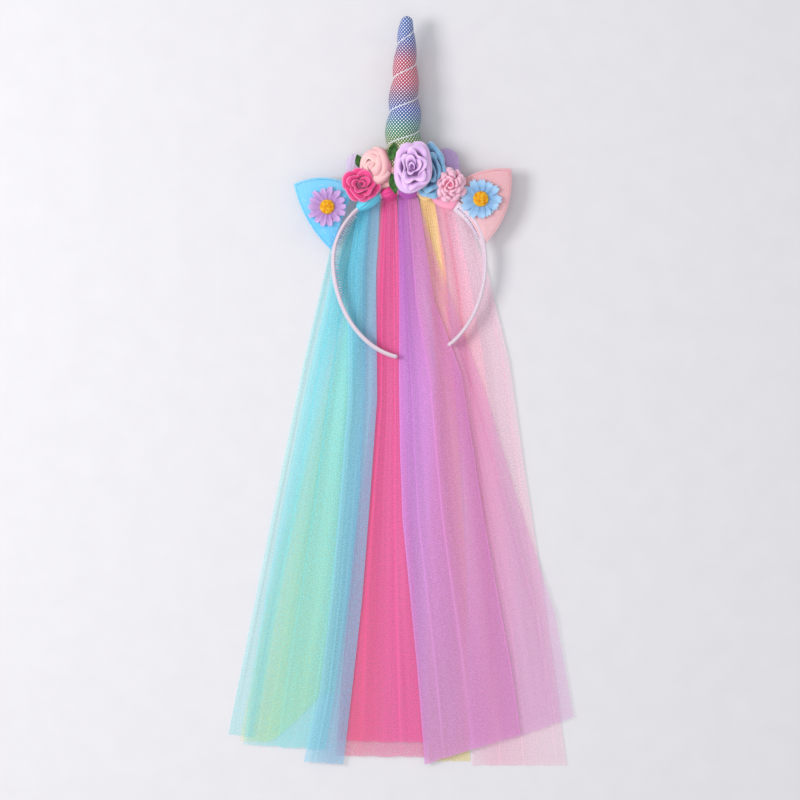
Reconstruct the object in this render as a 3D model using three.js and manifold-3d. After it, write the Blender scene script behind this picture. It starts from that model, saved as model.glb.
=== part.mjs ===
// Unicorn horn headband with felt ears, fabric flowers and a long veil of net strips, lying on its back.
// Millimetres. X runs across the hoop, Y runs from the hems up to the horn's tip, Z rises from the surface.

import * as THREE from "three";
import { mergeVertices } from "three/addons/utils/BufferGeometryUtils.js";
import Module from "manifold-3d";

const wasm = await Module();
wasm.setup();

// Clearance between neighbouring pieces.
const GAP = 0.3;
// Two corners closer than this are one corner.
const SAME_POINT = 1e-4;

// The hoop's middle line: an ellipse that is longer below its widest place than above it.
// Angles are degrees from the crown, negative towards the left arm.
const HOOP = {
  centreX: 6.7,
  centreY: 119.4,
  halfWidth: 68.3,
  crownHeight: 63.2,
  armDrop: 87.4,
  lean: 2,
  leftEnd: -169,
  rightEnd: 152,
  crownLift: 17.4,
  endLift: 11.6,
};

// The satin-wrapped strip that follows the hoop.
const BAND = {
  crownWidth: 12,
  endWidth: 6.6,
  thickness: 3.2,
  corner: 0.9,
  stations: 38,
  narrowFrom: 0.1,
  turnStep: 0.5,
};

// Turn of the strip about its own middle line: above 0 the inner face looks up.
const BAND_TWIST = [
  { angle: -169, twist: -12 },
  { angle: -100, twist: -8 },
  { angle: -60, twist: 2 },
  { angle: -30, twist: 10 },
  { angle: 0, twist: 22 },
  { angle: 26, twist: 44 },
  { angle: 46, twist: 58 },
  { angle: 64, twist: 36 },
  { angle: 82, twist: 12 },
  { angle: 110, twist: 5 },
  { angle: 152, twist: 3 },
];

// Comb teeth on the inner face, on the two stretches beside the knots.
const TEETH = { length: 2.7, radius: 0.8, pitch: 2.6, root: 0.5, sides: 4 };
const TEETH_STRETCHES = [
  { from: -111, to: -44 },
  { from: 43, to: 74 },
];

// Net wrapped round the band where a strip is knotted.
const KNOT = {
  padding: 3.4,
  pinch: 0.55,
  corner: 2.4,
  stations: 3,
  roomStations: 14,
  roomEnd: 0.3,
};

// The stuffed horn, measured from its tip, and the cord wound in its spiral groove.
const HORN = {
  length: 149.5,
  radius: 17,
  lean: 1.7,
  rise: 2,
  footX: 0.4,
  footLift: 17.3,
  groovePitch: 30,
  firstGroove: 19.5,
  grooveDepth: 0.12,
  rings: 43,
  sides: 12,
};
const HORN_PROFILE = [
  { along: 0, radius: 0.16 },
  { along: 0.02, radius: 0.3 },
  { along: 0.075, radius: 0.43 },
  { along: 0.25, radius: 0.62 },
  { along: 0.43, radius: 0.77 },
  { along: 0.61, radius: 0.925 },
  { along: 0.72, radius: 0.98 },
  { along: 1, radius: 1 },
];
const HORN_ROOM = { margin: 1, segments: 16, stations: [1, 0.61, 0.25, 0.02] };
const CORD = { diameter: 1.1, seat: 0.8, from: 0.07, to: 0.86, sides: 4 };

// Felt ears: the tip and the two ends of the base, with how far each side swells past its straight line.
const EAR = { thickness: 5.6, rim: 1.7, lift: 2.6, sidePoints: 7, rings: [1, 0.84, 0.45] };
const EARS = [
  {
    name: "ear_left",
    colour: "#6ecdf5",
    tip: [-96.8, 188.6],
    upper: [-42, 186],
    lower: [-63.5, 129.5],
    upperSwell: 7,
    lowerSwell: 5.2,
    angle: -62,
  },
  {
    name: "ear_right",
    colour: "#ebaeb4",
    tip: [98.6, 202.2],
    upper: [46, 186],
    lower: [74.2, 133.5],
    upperSwell: 6,
    lowerSwell: 8.5,
    angle: 62,
  },
];

// Daisies: two layers of notched petals and a domed heart.
const DAISY = {
  petalThickness: 0.9,
  layerOverlap: 0.225,
  heartHeight: 3.4,
  heartSegments: 12,
  backTurn: 0.5,
  backReach: 0.97,
  roomSides: 20,
};
const DAISIES = [
  { name: "daisy_lilac", colour: "#cda5e1", x: -66.7, y: 167.9, reach: 19.4, heart: 7, petals: 14, notch: 0.94 },
  { name: "daisy_blue", colour: "#a0cdf5", x: 71.1, y: 174.9, reach: 20, heart: 7.4, petals: 12, notch: 0.9 },
];
const HEART_COLOUR = "#f0b428";
const HEART_PROFILE = [
  { radius: 0, rise: 0 },
  { radius: 1, rise: 0 },
  { radius: 0.96, rise: 0.45 },
  { radius: 0.62, rise: 0.88 },
  { radius: 0, rise: 1 },
];

// Outline of one daisy petal, as shares of the petal's pitch and of the daisy's reach.
const PETAL_OUTLINE = [
  { turn: -0.5, reach: 0.52, back: true },
  { turn: -0.4, reach: 0.82, back: false },
  { turn: -0.2, reach: 1, back: true },
  { turn: 0, reach: null, back: false },
  { turn: 0.2, reach: 1, back: true },
  { turn: 0.4, reach: 0.82, back: false },
];

// Stations up a petal: curled outwards, or straight.
const CURLED = [0, 0.55, 1];
const STRAIGHT = [0, 1];
// Rings of petals on a flower, as shares of its half size and height.
const ROSE_RINGS = [
  {
    petals: 5, foot: 0.5, footRise: 0.08, rim: 1, rimRise: 0.62, spread: 0.6,
    turn: 0, points: 4, climbs: CURLED,
  },
  {
    petals: 3, foot: 0.36, footRise: 0.4, rim: 0.7, rimRise: 0.88, spread: 0.46,
    turn: 0.45, points: 4, climbs: STRAIGHT,
  },
  {
    petals: 2, foot: 0.12, footRise: 0.55, rim: 0.36, rimRise: 1, spread: 0.4,
    turn: 0.2, points: 3, climbs: STRAIGHT,
  },
];
const HALF_HIDDEN_RINGS = ROSE_RINGS.slice(0, 2);
const CARNATION_RINGS = [
  {
    petals: 7, foot: 0.5, footRise: 0.08, rim: 1, rimRise: 0.5, spread: 0.46,
    turn: 0, points: 3, climbs: STRAIGHT,
  },
  {
    petals: 4, foot: 0.36, footRise: 0.4, rim: 0.74, rimRise: 0.85, spread: 0.42,
    turn: 0.5, points: 3, climbs: STRAIGHT,
  },
  {
    petals: 2, foot: 0.1, footRise: 0.55, rim: 0.38, rimRise: 1, spread: 0.36,
    turn: 0.2, points: 3, climbs: STRAIGHT,
  },
];
const PETAL = { thickness: 1.3, droop: 0.2, waist: 0.6, nesting: 0.09, curl: 1.4 };
// A flower's turned core under its petals, and the room it keeps, both as shares of its half size and height.
const FLOWER_CORE_SEGMENTS = 9;
const FLOWER_CORE = [
  { radius: 0, rise: 0 },
  { radius: 0.59, rise: 0 },
  { radius: 0.74, rise: 0.25 },
  { radius: 0.61, rise: 0.63 },
  { radius: 0, rise: 0.84 },
];
const FLOWER_ROOM_SEGMENTS = 12;
const FLOWER_ROOM = [
  { radius: 0, rise: 0 },
  { radius: 0.95, rise: 0 },
  { radius: 1.07, rise: 0.3 },
  { radius: 1.07, rise: 0.68 },
  { radius: 0.6, rise: 1.05 },
  { radius: 0, rise: 1.05 },
];

// Flowers in the order in which each keeps its room: a later one gives way to those before it.
const FLOWERS = [
  {
    name: "rose_lilac", colour: "#d7a5e6", rings: ROSE_RINGS,
    x: 10.1, y: 202.5, lift: 24, halfWidth: 18.2, halfLength: 24.3, height: 21, turn: 20,
  },
  {
    name: "rose_pale_pink", colour: "#fabec3", rings: ROSE_RINGS,
    x: -23.2, y: 205.7, lift: 12, halfWidth: 16.4, halfLength: 17.6, height: 27, turn: 75,
  },
  {
    name: "carnation_pink", colour: "#fa96af", rings: CARNATION_RINGS,
    x: 43.6, y: 187.2, lift: 20, halfWidth: 15.3, halfLength: 16, height: 17, turn: 10,
  },
  {
    name: "rose_blue", colour: "#6eaacd", rings: HALF_HIDDEN_RINGS,
    x: 26.5, y: 201.2, lift: 10, halfWidth: 13.5, halfLength: 23.8, height: 24, turn: 50,
  },
  {
    name: "rose_hot_pink", colour: "#d72878", rings: ROSE_RINGS,
    x: -36, y: 187.2, lift: 21, halfWidth: 18.2, halfLength: 16.5, height: 17, turn: 5,
  },
];

// Thin leaves and loops of net behind the flowers: flat lens or lobe outlines, bent into a shallow dome.
// Each is trimmed where the flowers leave it no room, and then slides until it rests against its neighbour.
const LEAF = { halfThickness: 0.5, rim: 0.5, dome: 0.8, taper: 0.4, outlinePoints: 8, rings: [1, 0.5] };
const PUFF = { halfThickness: 0.6, rim: 0.6, dome: 2.2, taper: 0, outlinePoints: 10, rings: [1, 0.5] };
const LOBES = [
  {
    name: "leaf_left", colour: "#3c6e32", shape: LEAF,
    x: -38, y: 208.5, lift: 10.4, halfWidth: 4.6, halfLength: 8, turn: 20, slide: [0.75, 0, 0.75],
  },
  {
    name: "leaf_middle", colour: "#3c6e32", shape: LEAF,
    x: -8.6, y: 220, lift: 35.6, halfWidth: 4, halfLength: 7, turn: -35, slide: [0, 0, -1.12],
  },
  {
    name: "leaf_low", colour: "#3c6e32", shape: LEAF,
    x: -7.6, y: 188, lift: 35.6, halfWidth: 4, halfLength: 9.5, turn: 12, slide: [0, 0, -3.46],
  },
  {
    name: "puff_lilac", colour: "#e1cdf0", shape: PUFF,
    x: -43.6, y: 207.4, lift: 6.4, halfWidth: 7.5, halfLength: 9.5, turn: -15, slide: [0.75, 0, 1.32],
  },
  {
    name: "puff_purple", colour: "#b98cd2", shape: PUFF,
    x: 40.8, y: 209.3, lift: 6.4, halfWidth: 11.5, halfLength: 12.5, turn: 20, slide: [0, 0, 1.58],
  },
];

// The veil: its strips spread from the knots to the hems in up to three layers.
const VEIL = {
  length: 509.4,
  halfSpread: 158.5,
  topY: 174.6,
  cloth: 1,
  layerPitch: 2.3,
  liftAtKnots: 4,
  liftEnds: 0.15,
  tailInset: 15,
  climbLength: 11,
};
// Folds fan out from a point far above the crown, and every layer follows the same folds.
const FOLDS = {
  apexAbove: 324,
  middleX: 3.2,
  spacing: 0.05,
  rise: 1.5,
  riseAtKnots: 1,
  riseReached: 0.2,
  fadeFrom: 0.79,
  flatHem: 0.93,
};
// Stations along a strip, as shares of its own length.
const STRIP_STATIONS = [0, 0.012, 0.03, 0.09, 0.19, 0.33, 0.5, 0.71, 0.93, 1];

// Each strip: the stretch of hoop it comes from, its layer, its columns, and its edges at rows of fall,
// fall being a share of the veil's length and left and right shares of its half spread.
const STRIPS = [
  {
    name: "tulle_blue_front", colour: "#78c8e1", knot: true, from: -40.5, to: -20.6, layer: 2, columns: 5,
    hemLeft: 0.993, hemRight: 0.998,
    edges: [
      { fall: 0.124, left: -0.304, right: -0.145 },
      { fall: 0.353, left: -0.304, right: -0.139 },
      { fall: 0.53, left: -0.349, right: -0.179 },
      { fall: 0.707, left: -0.4, right: -0.224 },
      { fall: 0.866, left: -0.463, right: -0.281 },
      { fall: 1, left: -0.559, right: -0.332 },
    ],
  },
  {
    name: "tulle_hot_pink", colour: "#e1558f", knot: true, from: -19.4, to: -7.4, layer: 1, columns: 5,
    hemLeft: 0.983, hemRight: 0.986,
    edges: [
      { fall: 0.177, left: -0.168, right: -0.026 },
      { fall: 0.353, left: -0.19, right: -0.009 },
      { fall: 0.53, left: -0.213, right: 0.014 },
      { fall: 0.707, left: -0.27, right: 0.043 },
      { fall: 1, left: -0.332, right: 0.082 },
    ],
  },
  {
    name: "tulle_purple", colour: "#b978c8", knot: true, from: -6.2, to: 8, layer: 2, columns: 7,
    hemLeft: 0.998, hemRight: 0.945,
    edges: [
      { fall: 0.177, left: -0.012, right: 0.185 },
      { fall: 0.306, left: -0.014, right: 0.338 },
      { fall: 0.438, left: -0.009, right: 0.406 },
      { fall: 0.567, left: 0.006, right: 0.468 },
      { fall: 0.818, left: 0.086, right: 0.619 },
      { fall: 1, left: 0.133, right: 0.7 },
    ],
  },
  {
    name: "tulle_yellow", colour: "#ebcd8c", knot: true, from: 9.2, to: 20.6, layer: 0, columns: 4,
    hemLeft: 0.993, hemRight: 0.993,
    edges: [
      { fall: 0.106, left: 0.15, right: 0.247 },
      { fall: 0.283, left: 0.196, right: 0.293 },
      { fall: 0.472, left: 0.173, right: 0.335 },
      { fall: 0.652, left: 0.15, right: 0.367 },
      { fall: 1, left: 0.15, right: 0.39 },
    ],
  },
  {
    name: "tulle_pink", colour: "#f5a5c3", knot: true, from: 21.8, to: 40, layer: 0, columns: 7,
    hemLeft: 1, hemRight: 1,
    edges: [
      { fall: 0.03, left: 0.216, right: 0.38 },
      { fall: 0.124, left: 0.258, right: 0.486 },
      { fall: 0.283, left: 0.304, right: 0.61 },
      { fall: 0.472, left: 0.345, right: 0.696 },
      { fall: 0.652, left: 0.378, right: 0.786 },
      { fall: 1, left: 0.4, right: 0.94 },
    ],
  },
  {
    name: "tulle_blue_middle", colour: "#82cde6", knot: false, from: -42, to: -28, layer: 1, columns: 6,
    hemLeft: 0.963, hemRight: 0.973,
    edges: [
      { fall: 0.124, left: -0.39, right: -0.2 },
      { fall: 0.353, left: -0.556, right: -0.213 },
      { fall: 0.53, left: -0.667, right: -0.247 },
      { fall: 0.707, left: -0.775, right: -0.304 },
      { fall: 0.866, left: -0.86, right: -0.378 },
      { fall: 1, left: -0.912, right: -0.45 },
    ],
  },
  {
    name: "tulle_lilac", colour: "#d2a5d7", knot: false, from: 0, to: 8, layer: 1, columns: 5,
    hemLeft: 0.96, hemRight: 0.915,
    edges: [
      { fall: 0.106, left: 0.08, right: 0.205 },
      { fall: 0.353, left: 0.27, right: 0.49 },
      { fall: 0.53, left: 0.37, right: 0.66 },
      { fall: 0.731, left: 0.47, right: 0.872 },
      { fall: 1, left: 0.587, right: 1.03 },
    ],
  },
  {
    name: "tulle_blue_pale", colour: "#bee6f0", knot: false, from: -44, to: -37.5, layer: 0, columns: 3,
    hemLeft: 0.945, hemRight: 0.952,
    edges: [
      { fall: 0.088, left: -0.406, right: -0.3 },
      { fall: 0.177, left: -0.474, right: -0.315 },
      { fall: 0.283, left: -0.554, right: -0.42 },
      { fall: 0.53, left: -0.718, right: -0.576 },
      { fall: 0.707, left: -0.832, right: -0.7 },
      { fall: 1, left: -1.022, right: -0.86 },
    ],
  },
  {
    name: "tulle_yellow_left", colour: "#e6e68c", knot: false, from: -34, to: -22, layer: 0, columns: 5,
    hemLeft: 0.957, hemRight: 0.967,
    edges: [
      { fall: 0.088, left: -0.285, right: -0.17 },
      { fall: 0.177, left: -0.3, right: -0.18 },
      { fall: 0.283, left: -0.4, right: -0.22 },
      { fall: 0.53, left: -0.561, right: -0.327 },
      { fall: 0.707, left: -0.685, right: -0.35 },
      { fall: 1, left: -0.845, right: -0.44 },
    ],
  },
];

const radians = THREE.MathUtils.degToRad;
const mix = THREE.MathUtils.lerp;
const fade = THREE.MathUtils.smoothstep;

// Value in a column of a table at a place between its rows.
function tableValue(table, key, at, column) {
  const next = table.findIndex((row) => row[key] >= at);
  if (next === -1) return table[table.length - 1][column];
  if (next === 0) return table[0][column];
  const share = (at - table[next - 1][key]) / (table[next][key] - table[next - 1][key]);
  return mix(table[next - 1][column], table[next][column], share);
}

// Surface geometry from a list of triangles, turned so that its faces point out.
function closedGeometry(triangles) {
  const volume = triangles.reduce((sum, [a, b, c]) => sum + a.dot(b.clone().cross(c)), 0);
  const corners = volume < 0 ? triangles.flatMap(([a, b, c]) => [a, c, b]) : triangles.flat();
  return new THREE.BufferGeometry().setFromPoints(corners);
}

// Closed body through rings of equally many points, with each end closed by pairing opposite points.
function loft(rings) {
  const sides = rings[0].length;
  const triangles = [];
  const quad = (a, b, c, d) => triangles.push([a, b, c], [a, c, d]);
  for (let ring = 1; ring < rings.length; ring += 1) {
    const before = rings[ring - 1];
    const after = rings[ring];
    for (let side = 0; side < sides; side += 1) {
      const next = (side + 1) % sides;
      quad(before[side], before[next], after[next], after[side]);
    }
  }
  const first = rings[0];
  const last = rings[rings.length - 1];
  for (let side = 0; side < sides / 2 - 1; side += 1) {
    const across = sides - 1 - side;
    quad(first[side], first[across], first[across - 1], first[side + 1]);
    quad(last[side], last[side + 1], last[across - 1], last[across]);
  }
  return closedGeometry(triangles);
}

// Solid for joining and cutting.
function solid(geometry) {
  const bare = geometry.clone();
  bare.deleteAttribute("normal");
  bare.deleteAttribute("uv");
  const merged = mergeVertices(bare, SAME_POINT);
  const faces = [];
  for (let corner = 0; corner < merged.index.count; corner += 3) {
    const [a, b, c] = [0, 1, 2].map((step) => merged.index.getX(corner + step));
    if (a !== b && b !== c && a !== c) faces.push(a, b, c);
  }
  const mesh = new wasm.Mesh({
    numProp: 3,
    vertProperties: new Float32Array(merged.attributes.position.array),
    triVerts: new Uint32Array(faces),
  });
  return new wasm.Manifold(mesh);
}

// Body of unit size turned about Z from a table of radii and rises.
function turnedBody(profile, segments) {
  const points = profile.map((row) => new THREE.Vector2(row.radius, row.rise));
  return new THREE.LatheGeometry(points, segments).rotateX(Math.PI / 2);
}

// The largest single body of a cut solid, as a geometry.
function largestBody(cut) {
  const bodies = cut.decompose().sort((a, b) => b.volume() - a.volume());
  const mesh = bodies[0].getMesh();
  const geometry = new THREE.BufferGeometry();
  geometry.setAttribute("position", new THREE.BufferAttribute(mesh.vertProperties, 3));
  geometry.setIndex(new THREE.BufferAttribute(mesh.triVerts, 1));
  return geometry;
}

// Named mesh whose geometry sits round its own anchor point.
function piece(name, geometry, colour, anchor, finish = {}) {
  const material = new THREE.MeshStandardMaterial({ color: colour, roughness: 0.85, metalness: 0, ...finish });
  geometry.translate(-anchor.x, -anchor.y, -anchor.z);
  geometry.computeVertexNormals();
  const mesh = new THREE.Mesh(geometry, material);
  mesh.name = name;
  mesh.position.copy(anchor);
  return mesh;
}

// Point of the hoop's middle line.
function hoopPoint(angle) {
  const turn = radians(angle);
  const reach = Math.cos(turn) > 0 ? HOOP.crownHeight : HOOP.armDrop;
  const x = HOOP.halfWidth * Math.sin(turn);
  const y = reach * Math.cos(turn);
  const lean = radians(HOOP.lean);
  const share = (y + HOOP.armDrop) / (HOOP.crownHeight + HOOP.armDrop);
  return new THREE.Vector3(
    HOOP.centreX + x * Math.cos(lean) - y * Math.sin(lean),
    HOOP.centreY + x * Math.sin(lean) + y * Math.cos(lean),
    mix(HOOP.endLift, HOOP.crownLift, share),
  );
}

// The band's place and directions at an angle: across its width, and out through its outer face.
function bandFrame(angle) {
  const centre = hoopPoint(angle);
  const tangent = hoopPoint(angle + BAND.turnStep).sub(hoopPoint(angle - BAND.turnStep)).setZ(0).normalize();
  const outside = new THREE.Vector3(-tangent.y, tangent.x, 0);
  const twist = radians(tableValue(BAND_TWIST, "angle", angle, "twist"));
  const upright = new THREE.Vector3(0, 0, 1);
  const across = upright.clone().multiplyScalar(Math.cos(twist)).addScaledVector(outside, Math.sin(twist));
  const outward = outside.clone().multiplyScalar(Math.cos(twist)).addScaledVector(upright, -Math.sin(twist));
  return { centre, across, outward, twist };
}

// Half the band's width at an angle: widest at the crown, narrowest at the arms' ends.
function bandHalfWidth(angle) {
  const share = Math.abs(angle) / Math.max(HOOP.rightEnd, -HOOP.leftEnd);
  return mix(BAND.crownWidth, BAND.endWidth, fade(share, BAND.narrowFrom, 1)) / 2;
}

// Eight-cornered section across the band at an angle.
function bandSection(angle, halfWidth, halfThickness, corner) {
  const { centre, across, outward } = bandFrame(angle);
  const place = (width, depth) => centre.clone().addScaledVector(across, width).addScaledVector(outward, depth);
  return [
    place(halfWidth, halfThickness - corner),
    place(halfWidth - corner, halfThickness),
    place(corner - halfWidth, halfThickness),
    place(-halfWidth, halfThickness - corner),
    place(-halfWidth, corner - halfThickness),
    place(corner - halfWidth, -halfThickness),
    place(halfWidth - corner, -halfThickness),
    place(halfWidth, corner - halfThickness),
  ];
}

// The band along its whole hoop, grown all round by a margin.
function bandBody(margin) {
  const rings = [];
  for (let station = 0; station <= BAND.stations; station += 1) {
    const angle = mix(HOOP.leftEnd, HOOP.rightEnd, station / BAND.stations);
    rings.push(bandSection(angle, bandHalfWidth(angle) + margin, BAND.thickness / 2 + margin, BAND.corner));
  }
  return solid(loft(rings));
}

// Comb teeth along the stretches of hoop beside the knots.
function combTeeth() {
  const teeth = [];
  for (const stretch of TEETH_STRETCHES) {
    let angle = stretch.from;
    while (angle < stretch.to) {
      const { centre, outward } = bandFrame(angle);
      const tooth = new THREE.ConeGeometry(TEETH.radius, TEETH.length + TEETH.root, TEETH.sides);
      const turn = new THREE.Quaternion().setFromUnitVectors(new THREE.Vector3(0, 1, 0), outward.clone().negate());
      const depth = BAND.thickness / 2 + (TEETH.length - TEETH.root) / 2;
      const middle = centre.clone().addScaledVector(outward, -depth);
      tooth.applyQuaternion(turn).translate(middle.x, middle.y, middle.z);
      teeth.push(solid(tooth));
      angle += TEETH.pitch / hoopPoint(angle + 1).distanceTo(hoopPoint(angle));
    }
  }
  return teeth;
}

// Net wrapped round the band between two angles, its padding given by the share of the way along.
function knotSleeve(from, to, stations, padding) {
  const rings = [];
  for (let station = 0; station <= stations; station += 1) {
    const share = station / stations;
    const angle = mix(from, to, share);
    const swell = padding(share);
    rings.push(bandSection(angle, bandHalfWidth(angle) + swell, BAND.thickness / 2 + swell, KNOT.corner));
  }
  return solid(loft(rings));
}

// One strip's knot: fullest in its middle and pinched at both ends.
function knotBody(strip) {
  const padding = (share) => KNOT.padding * mix(KNOT.pinch, 1, Math.sin(Math.PI * share));
  return knotSleeve(strip.from, strip.to, KNOT.stations, padding);
}

// Room that all the knots keep for themselves.
function knotRoomBody() {
  const knotted = STRIPS.filter((strip) => strip.knot);
  const from = Math.min(...knotted.map((strip) => strip.from)) - KNOT.roomEnd;
  const to = Math.max(...knotted.map((strip) => strip.to)) + KNOT.roomEnd;
  return knotSleeve(from, to, KNOT.roomStations, () => KNOT.padding + GAP);
}

// Radius of the horn at a share of its length from the tip and a share of the way round from its groove.
function hornRadius(along, round) {
  const bulge = Math.sqrt(Math.sin(Math.PI * round));
  const furrow = 1 - HORN.grooveDepth * (1 - bulge);
  return HORN.radius * tableValue(HORN_PROFILE, "along", along, "radius") * furrow;
}

// Angle of the groove round the horn, from the right and over the top, at a distance from the tip.
function grooveAngle(distance) {
  return Math.PI / 2 + (2 * Math.PI * (distance - HORN.firstGroove)) / HORN.groovePitch;
}

// Moves a geometry from the horn's own frame, foot at the origin and tip along +Y, to its place.
function placeOnHorn(geometry) {
  geometry.rotateX(radians(HORN.rise)).rotateZ(-radians(HORN.lean));
  return geometry.translate(hornFoot.x, hornFoot.y, hornFoot.z);
}

function hornBody() {
  const rings = [];
  for (let ring = 0; ring <= HORN.rings; ring += 1) {
    const along = ring / HORN.rings;
    const distance = along * HORN.length;
    const start = grooveAngle(distance);
    const points = [];
    for (let side = 0; side < HORN.sides; side += 1) {
      // Each ring is counted one corner later than the one before, so that a face's diagonal lies in the groove.
      const round = THREE.MathUtils.euclideanModulo(side - ring, HORN.sides) / HORN.sides;
      const radius = hornRadius(along, round);
      const angle = start + 2 * Math.PI * round;
      points.push(new THREE.Vector3(radius * Math.cos(angle), HORN.length - distance, radius * Math.sin(angle)));
    }
    rings.push(points);
  }
  return placeOnHorn(loft(rings));
}

// The cord, wound in the groove on the horn's own stations so that it keeps its gap all the way.
function hornCord() {
  const rings = [];
  const first = Math.round(CORD.from * HORN.rings);
  const last = Math.round(CORD.to * HORN.rings);
  for (let ring = first; ring <= last; ring += 1) {
    const along = ring / HORN.rings;
    const distance = along * HORN.length;
    const angle = grooveAngle(distance);
    const radial = new THREE.Vector3(Math.cos(angle), 0, Math.sin(angle));
    const radius = hornRadius(along, 0) + GAP + CORD.seat;
    const centre = radial.clone().multiplyScalar(radius).setY(HORN.length - distance);
    const points = [];
    for (let side = 0; side < CORD.sides; side += 1) {
      const turn = (2 * Math.PI * side) / CORD.sides;
      const point = centre.clone().addScaledVector(radial, (Math.cos(turn) * CORD.diameter) / 2);
      point.y += (Math.sin(turn) * CORD.diameter) / 2;
      points.push(point);
    }
    rings.push(points);
  }
  return placeOnHorn(loft(rings));
}

// Room that the horn and its cord keep for themselves: a plain turned body just outside both.
function hornRoomBody() {
  const profile = [new THREE.Vector2(0, 0)];
  for (const along of HORN_ROOM.stations) {
    const radius = HORN.radius * tableValue(HORN_PROFILE, "along", along, "radius") + HORN_ROOM.margin;
    profile.push(new THREE.Vector2(radius, HORN.length * (1 - along)));
  }
  profile.push(new THREE.Vector2(0, HORN.length + HORN_ROOM.margin));
  return solid(placeOnHorn(new THREE.LatheGeometry(profile, HORN_ROOM.segments)));
}

// A pad or leaf inside an outline: rings shrink towards the middle, and the body is thickest there.
function pad(outline, rim, middle, dome, shares) {
  const centre = outline.reduce((sum, point) => sum.add(point), new THREE.Vector2()).divideScalar(outline.length);
  const height = (share) => mix(middle, rim, share * share * share);
  const lift = (share) => dome * (1 - share * share);
  const at = (point, share, side) => {
    const flat = centre.clone().lerp(point, share);
    return new THREE.Vector3(flat.x, flat.y, lift(share) + side * height(share));
  };
  const triangles = [];
  outline.forEach((point, index) => {
    const next = outline[(index + 1) % outline.length];
    for (const side of [1, -1]) {
      const quads = shares.slice(1).map((share, ring) => [shares[ring], share]);
      const faces = quads.flatMap(([outer, inner]) => [
        [at(point, outer, side), at(next, outer, side), at(next, inner, side)],
        [at(point, outer, side), at(next, inner, side), at(point, inner, side)],
      ]);
      const innermost = shares[shares.length - 1];
      faces.push([at(point, innermost, side), at(next, innermost, side), at(point, 0, side)]);
      triangles.push(...faces.map(([a, b, c]) => (side > 0 ? [a, b, c] : [a, c, b])));
    }
    triangles.push([at(point, 1, 1), at(point, 1, -1), at(next, 1, -1)]);
    triangles.push([at(point, 1, 1), at(next, 1, -1), at(next, 1, 1)]);
  });
  return closedGeometry(triangles);
}

// Outline of an ear: three corners with the two free sides swollen.
function earOutline(ear, margin) {
  const [tip, upper, lower] = [ear.tip, ear.upper, ear.lower].map(([x, y]) => new THREE.Vector2(x, y));
  const middle = tip.clone().add(upper).add(lower).divideScalar(3);
  const bulge = (start, end, swell) => {
    const side = start.clone().add(end).divideScalar(2);
    const away = end.clone().sub(start).normalize();
    const normal = new THREE.Vector2(-away.y, away.x);
    if (normal.dot(side.clone().sub(middle)) < 0) normal.negate();
    return side.addScaledVector(normal, 2 * swell);
  };
  const top = new THREE.QuadraticBezierCurve(upper, bulge(upper, tip, ear.upperSwell), tip);
  const bottom = new THREE.QuadraticBezierCurve(tip, bulge(tip, lower, ear.lowerSwell), lower);
  const base = new THREE.LineCurve(lower, upper);
  const points = [top, bottom, base].flatMap((side) => side.getPoints(EAR.sidePoints).slice(0, -1));
  return points.map((point) => point.addScaledVector(point.clone().sub(middle).normalize(), margin));
}

function earLift(ear) {
  return hoopPoint(ear.angle).z + EAR.lift;
}

function earBody(ear, margin) {
  const geometry = pad(earOutline(ear, margin), EAR.rim / 2 + margin, EAR.thickness / 2 + margin, 0, EAR.rings);
  return solid(geometry.translate(0, 0, earLift(ear)));
}

// Height of a daisy's back: just clear of the ear's front and of the band's upper edge.
function daisyLift(ear) {
  const bandTop = hoopPoint(ear.angle).z + bandHalfWidth(ear.angle);
  return Math.max(earLift(ear) + EAR.thickness / 2, bandTop) + GAP;
}

function daisyLayer(daisy, reach, turn, detailed) {
  const rows = PETAL_OUTLINE.filter((row) => detailed || row.back);
  const points = [];
  for (let petal = 0; petal < daisy.petals; petal += 1) {
    for (const row of rows) {
      const angle = (2 * Math.PI * (petal + turn + row.turn)) / daisy.petals;
      const radius = reach * (row.reach ?? daisy.notch);
      points.push(new THREE.Vector2(radius * Math.cos(angle), radius * Math.sin(angle)));
    }
  }
  return new THREE.ExtrudeGeometry(new THREE.Shape(points), { depth: DAISY.petalThickness, bevelEnabled: false });
}

function daisyPetals(daisy) {
  const back = daisyLayer(daisy, daisy.reach * DAISY.backReach, DAISY.backTurn, false);
  const front = daisyLayer(daisy, daisy.reach, 0, true);
  front.translate(0, 0, DAISY.petalThickness - DAISY.layerOverlap);
  return largestBody(solid(back).add(solid(front)));
}

function daisyHeight() {
  return 2 * DAISY.petalThickness - DAISY.layerOverlap;
}

function daisyHeart(daisy) {
  return turnedBody(HEART_PROFILE, DAISY.heartSegments).scale(daisy.heart, daisy.heart, DAISY.heartHeight);
}

// Room that a daisy keeps for itself: a disc a little wider than its petals, up past its heart.
function daisyRoom(daisy, lift) {
  const radius = daisy.reach + GAP;
  const height = daisyHeight() + DAISY.heartHeight + 2 * GAP;
  const disc = new THREE.CylinderGeometry(radius, radius, height, DAISY.roomSides).rotateX(Math.PI / 2);
  return solid(disc.translate(daisy.x, daisy.y, lift + height / 2 - GAP));
}

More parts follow.
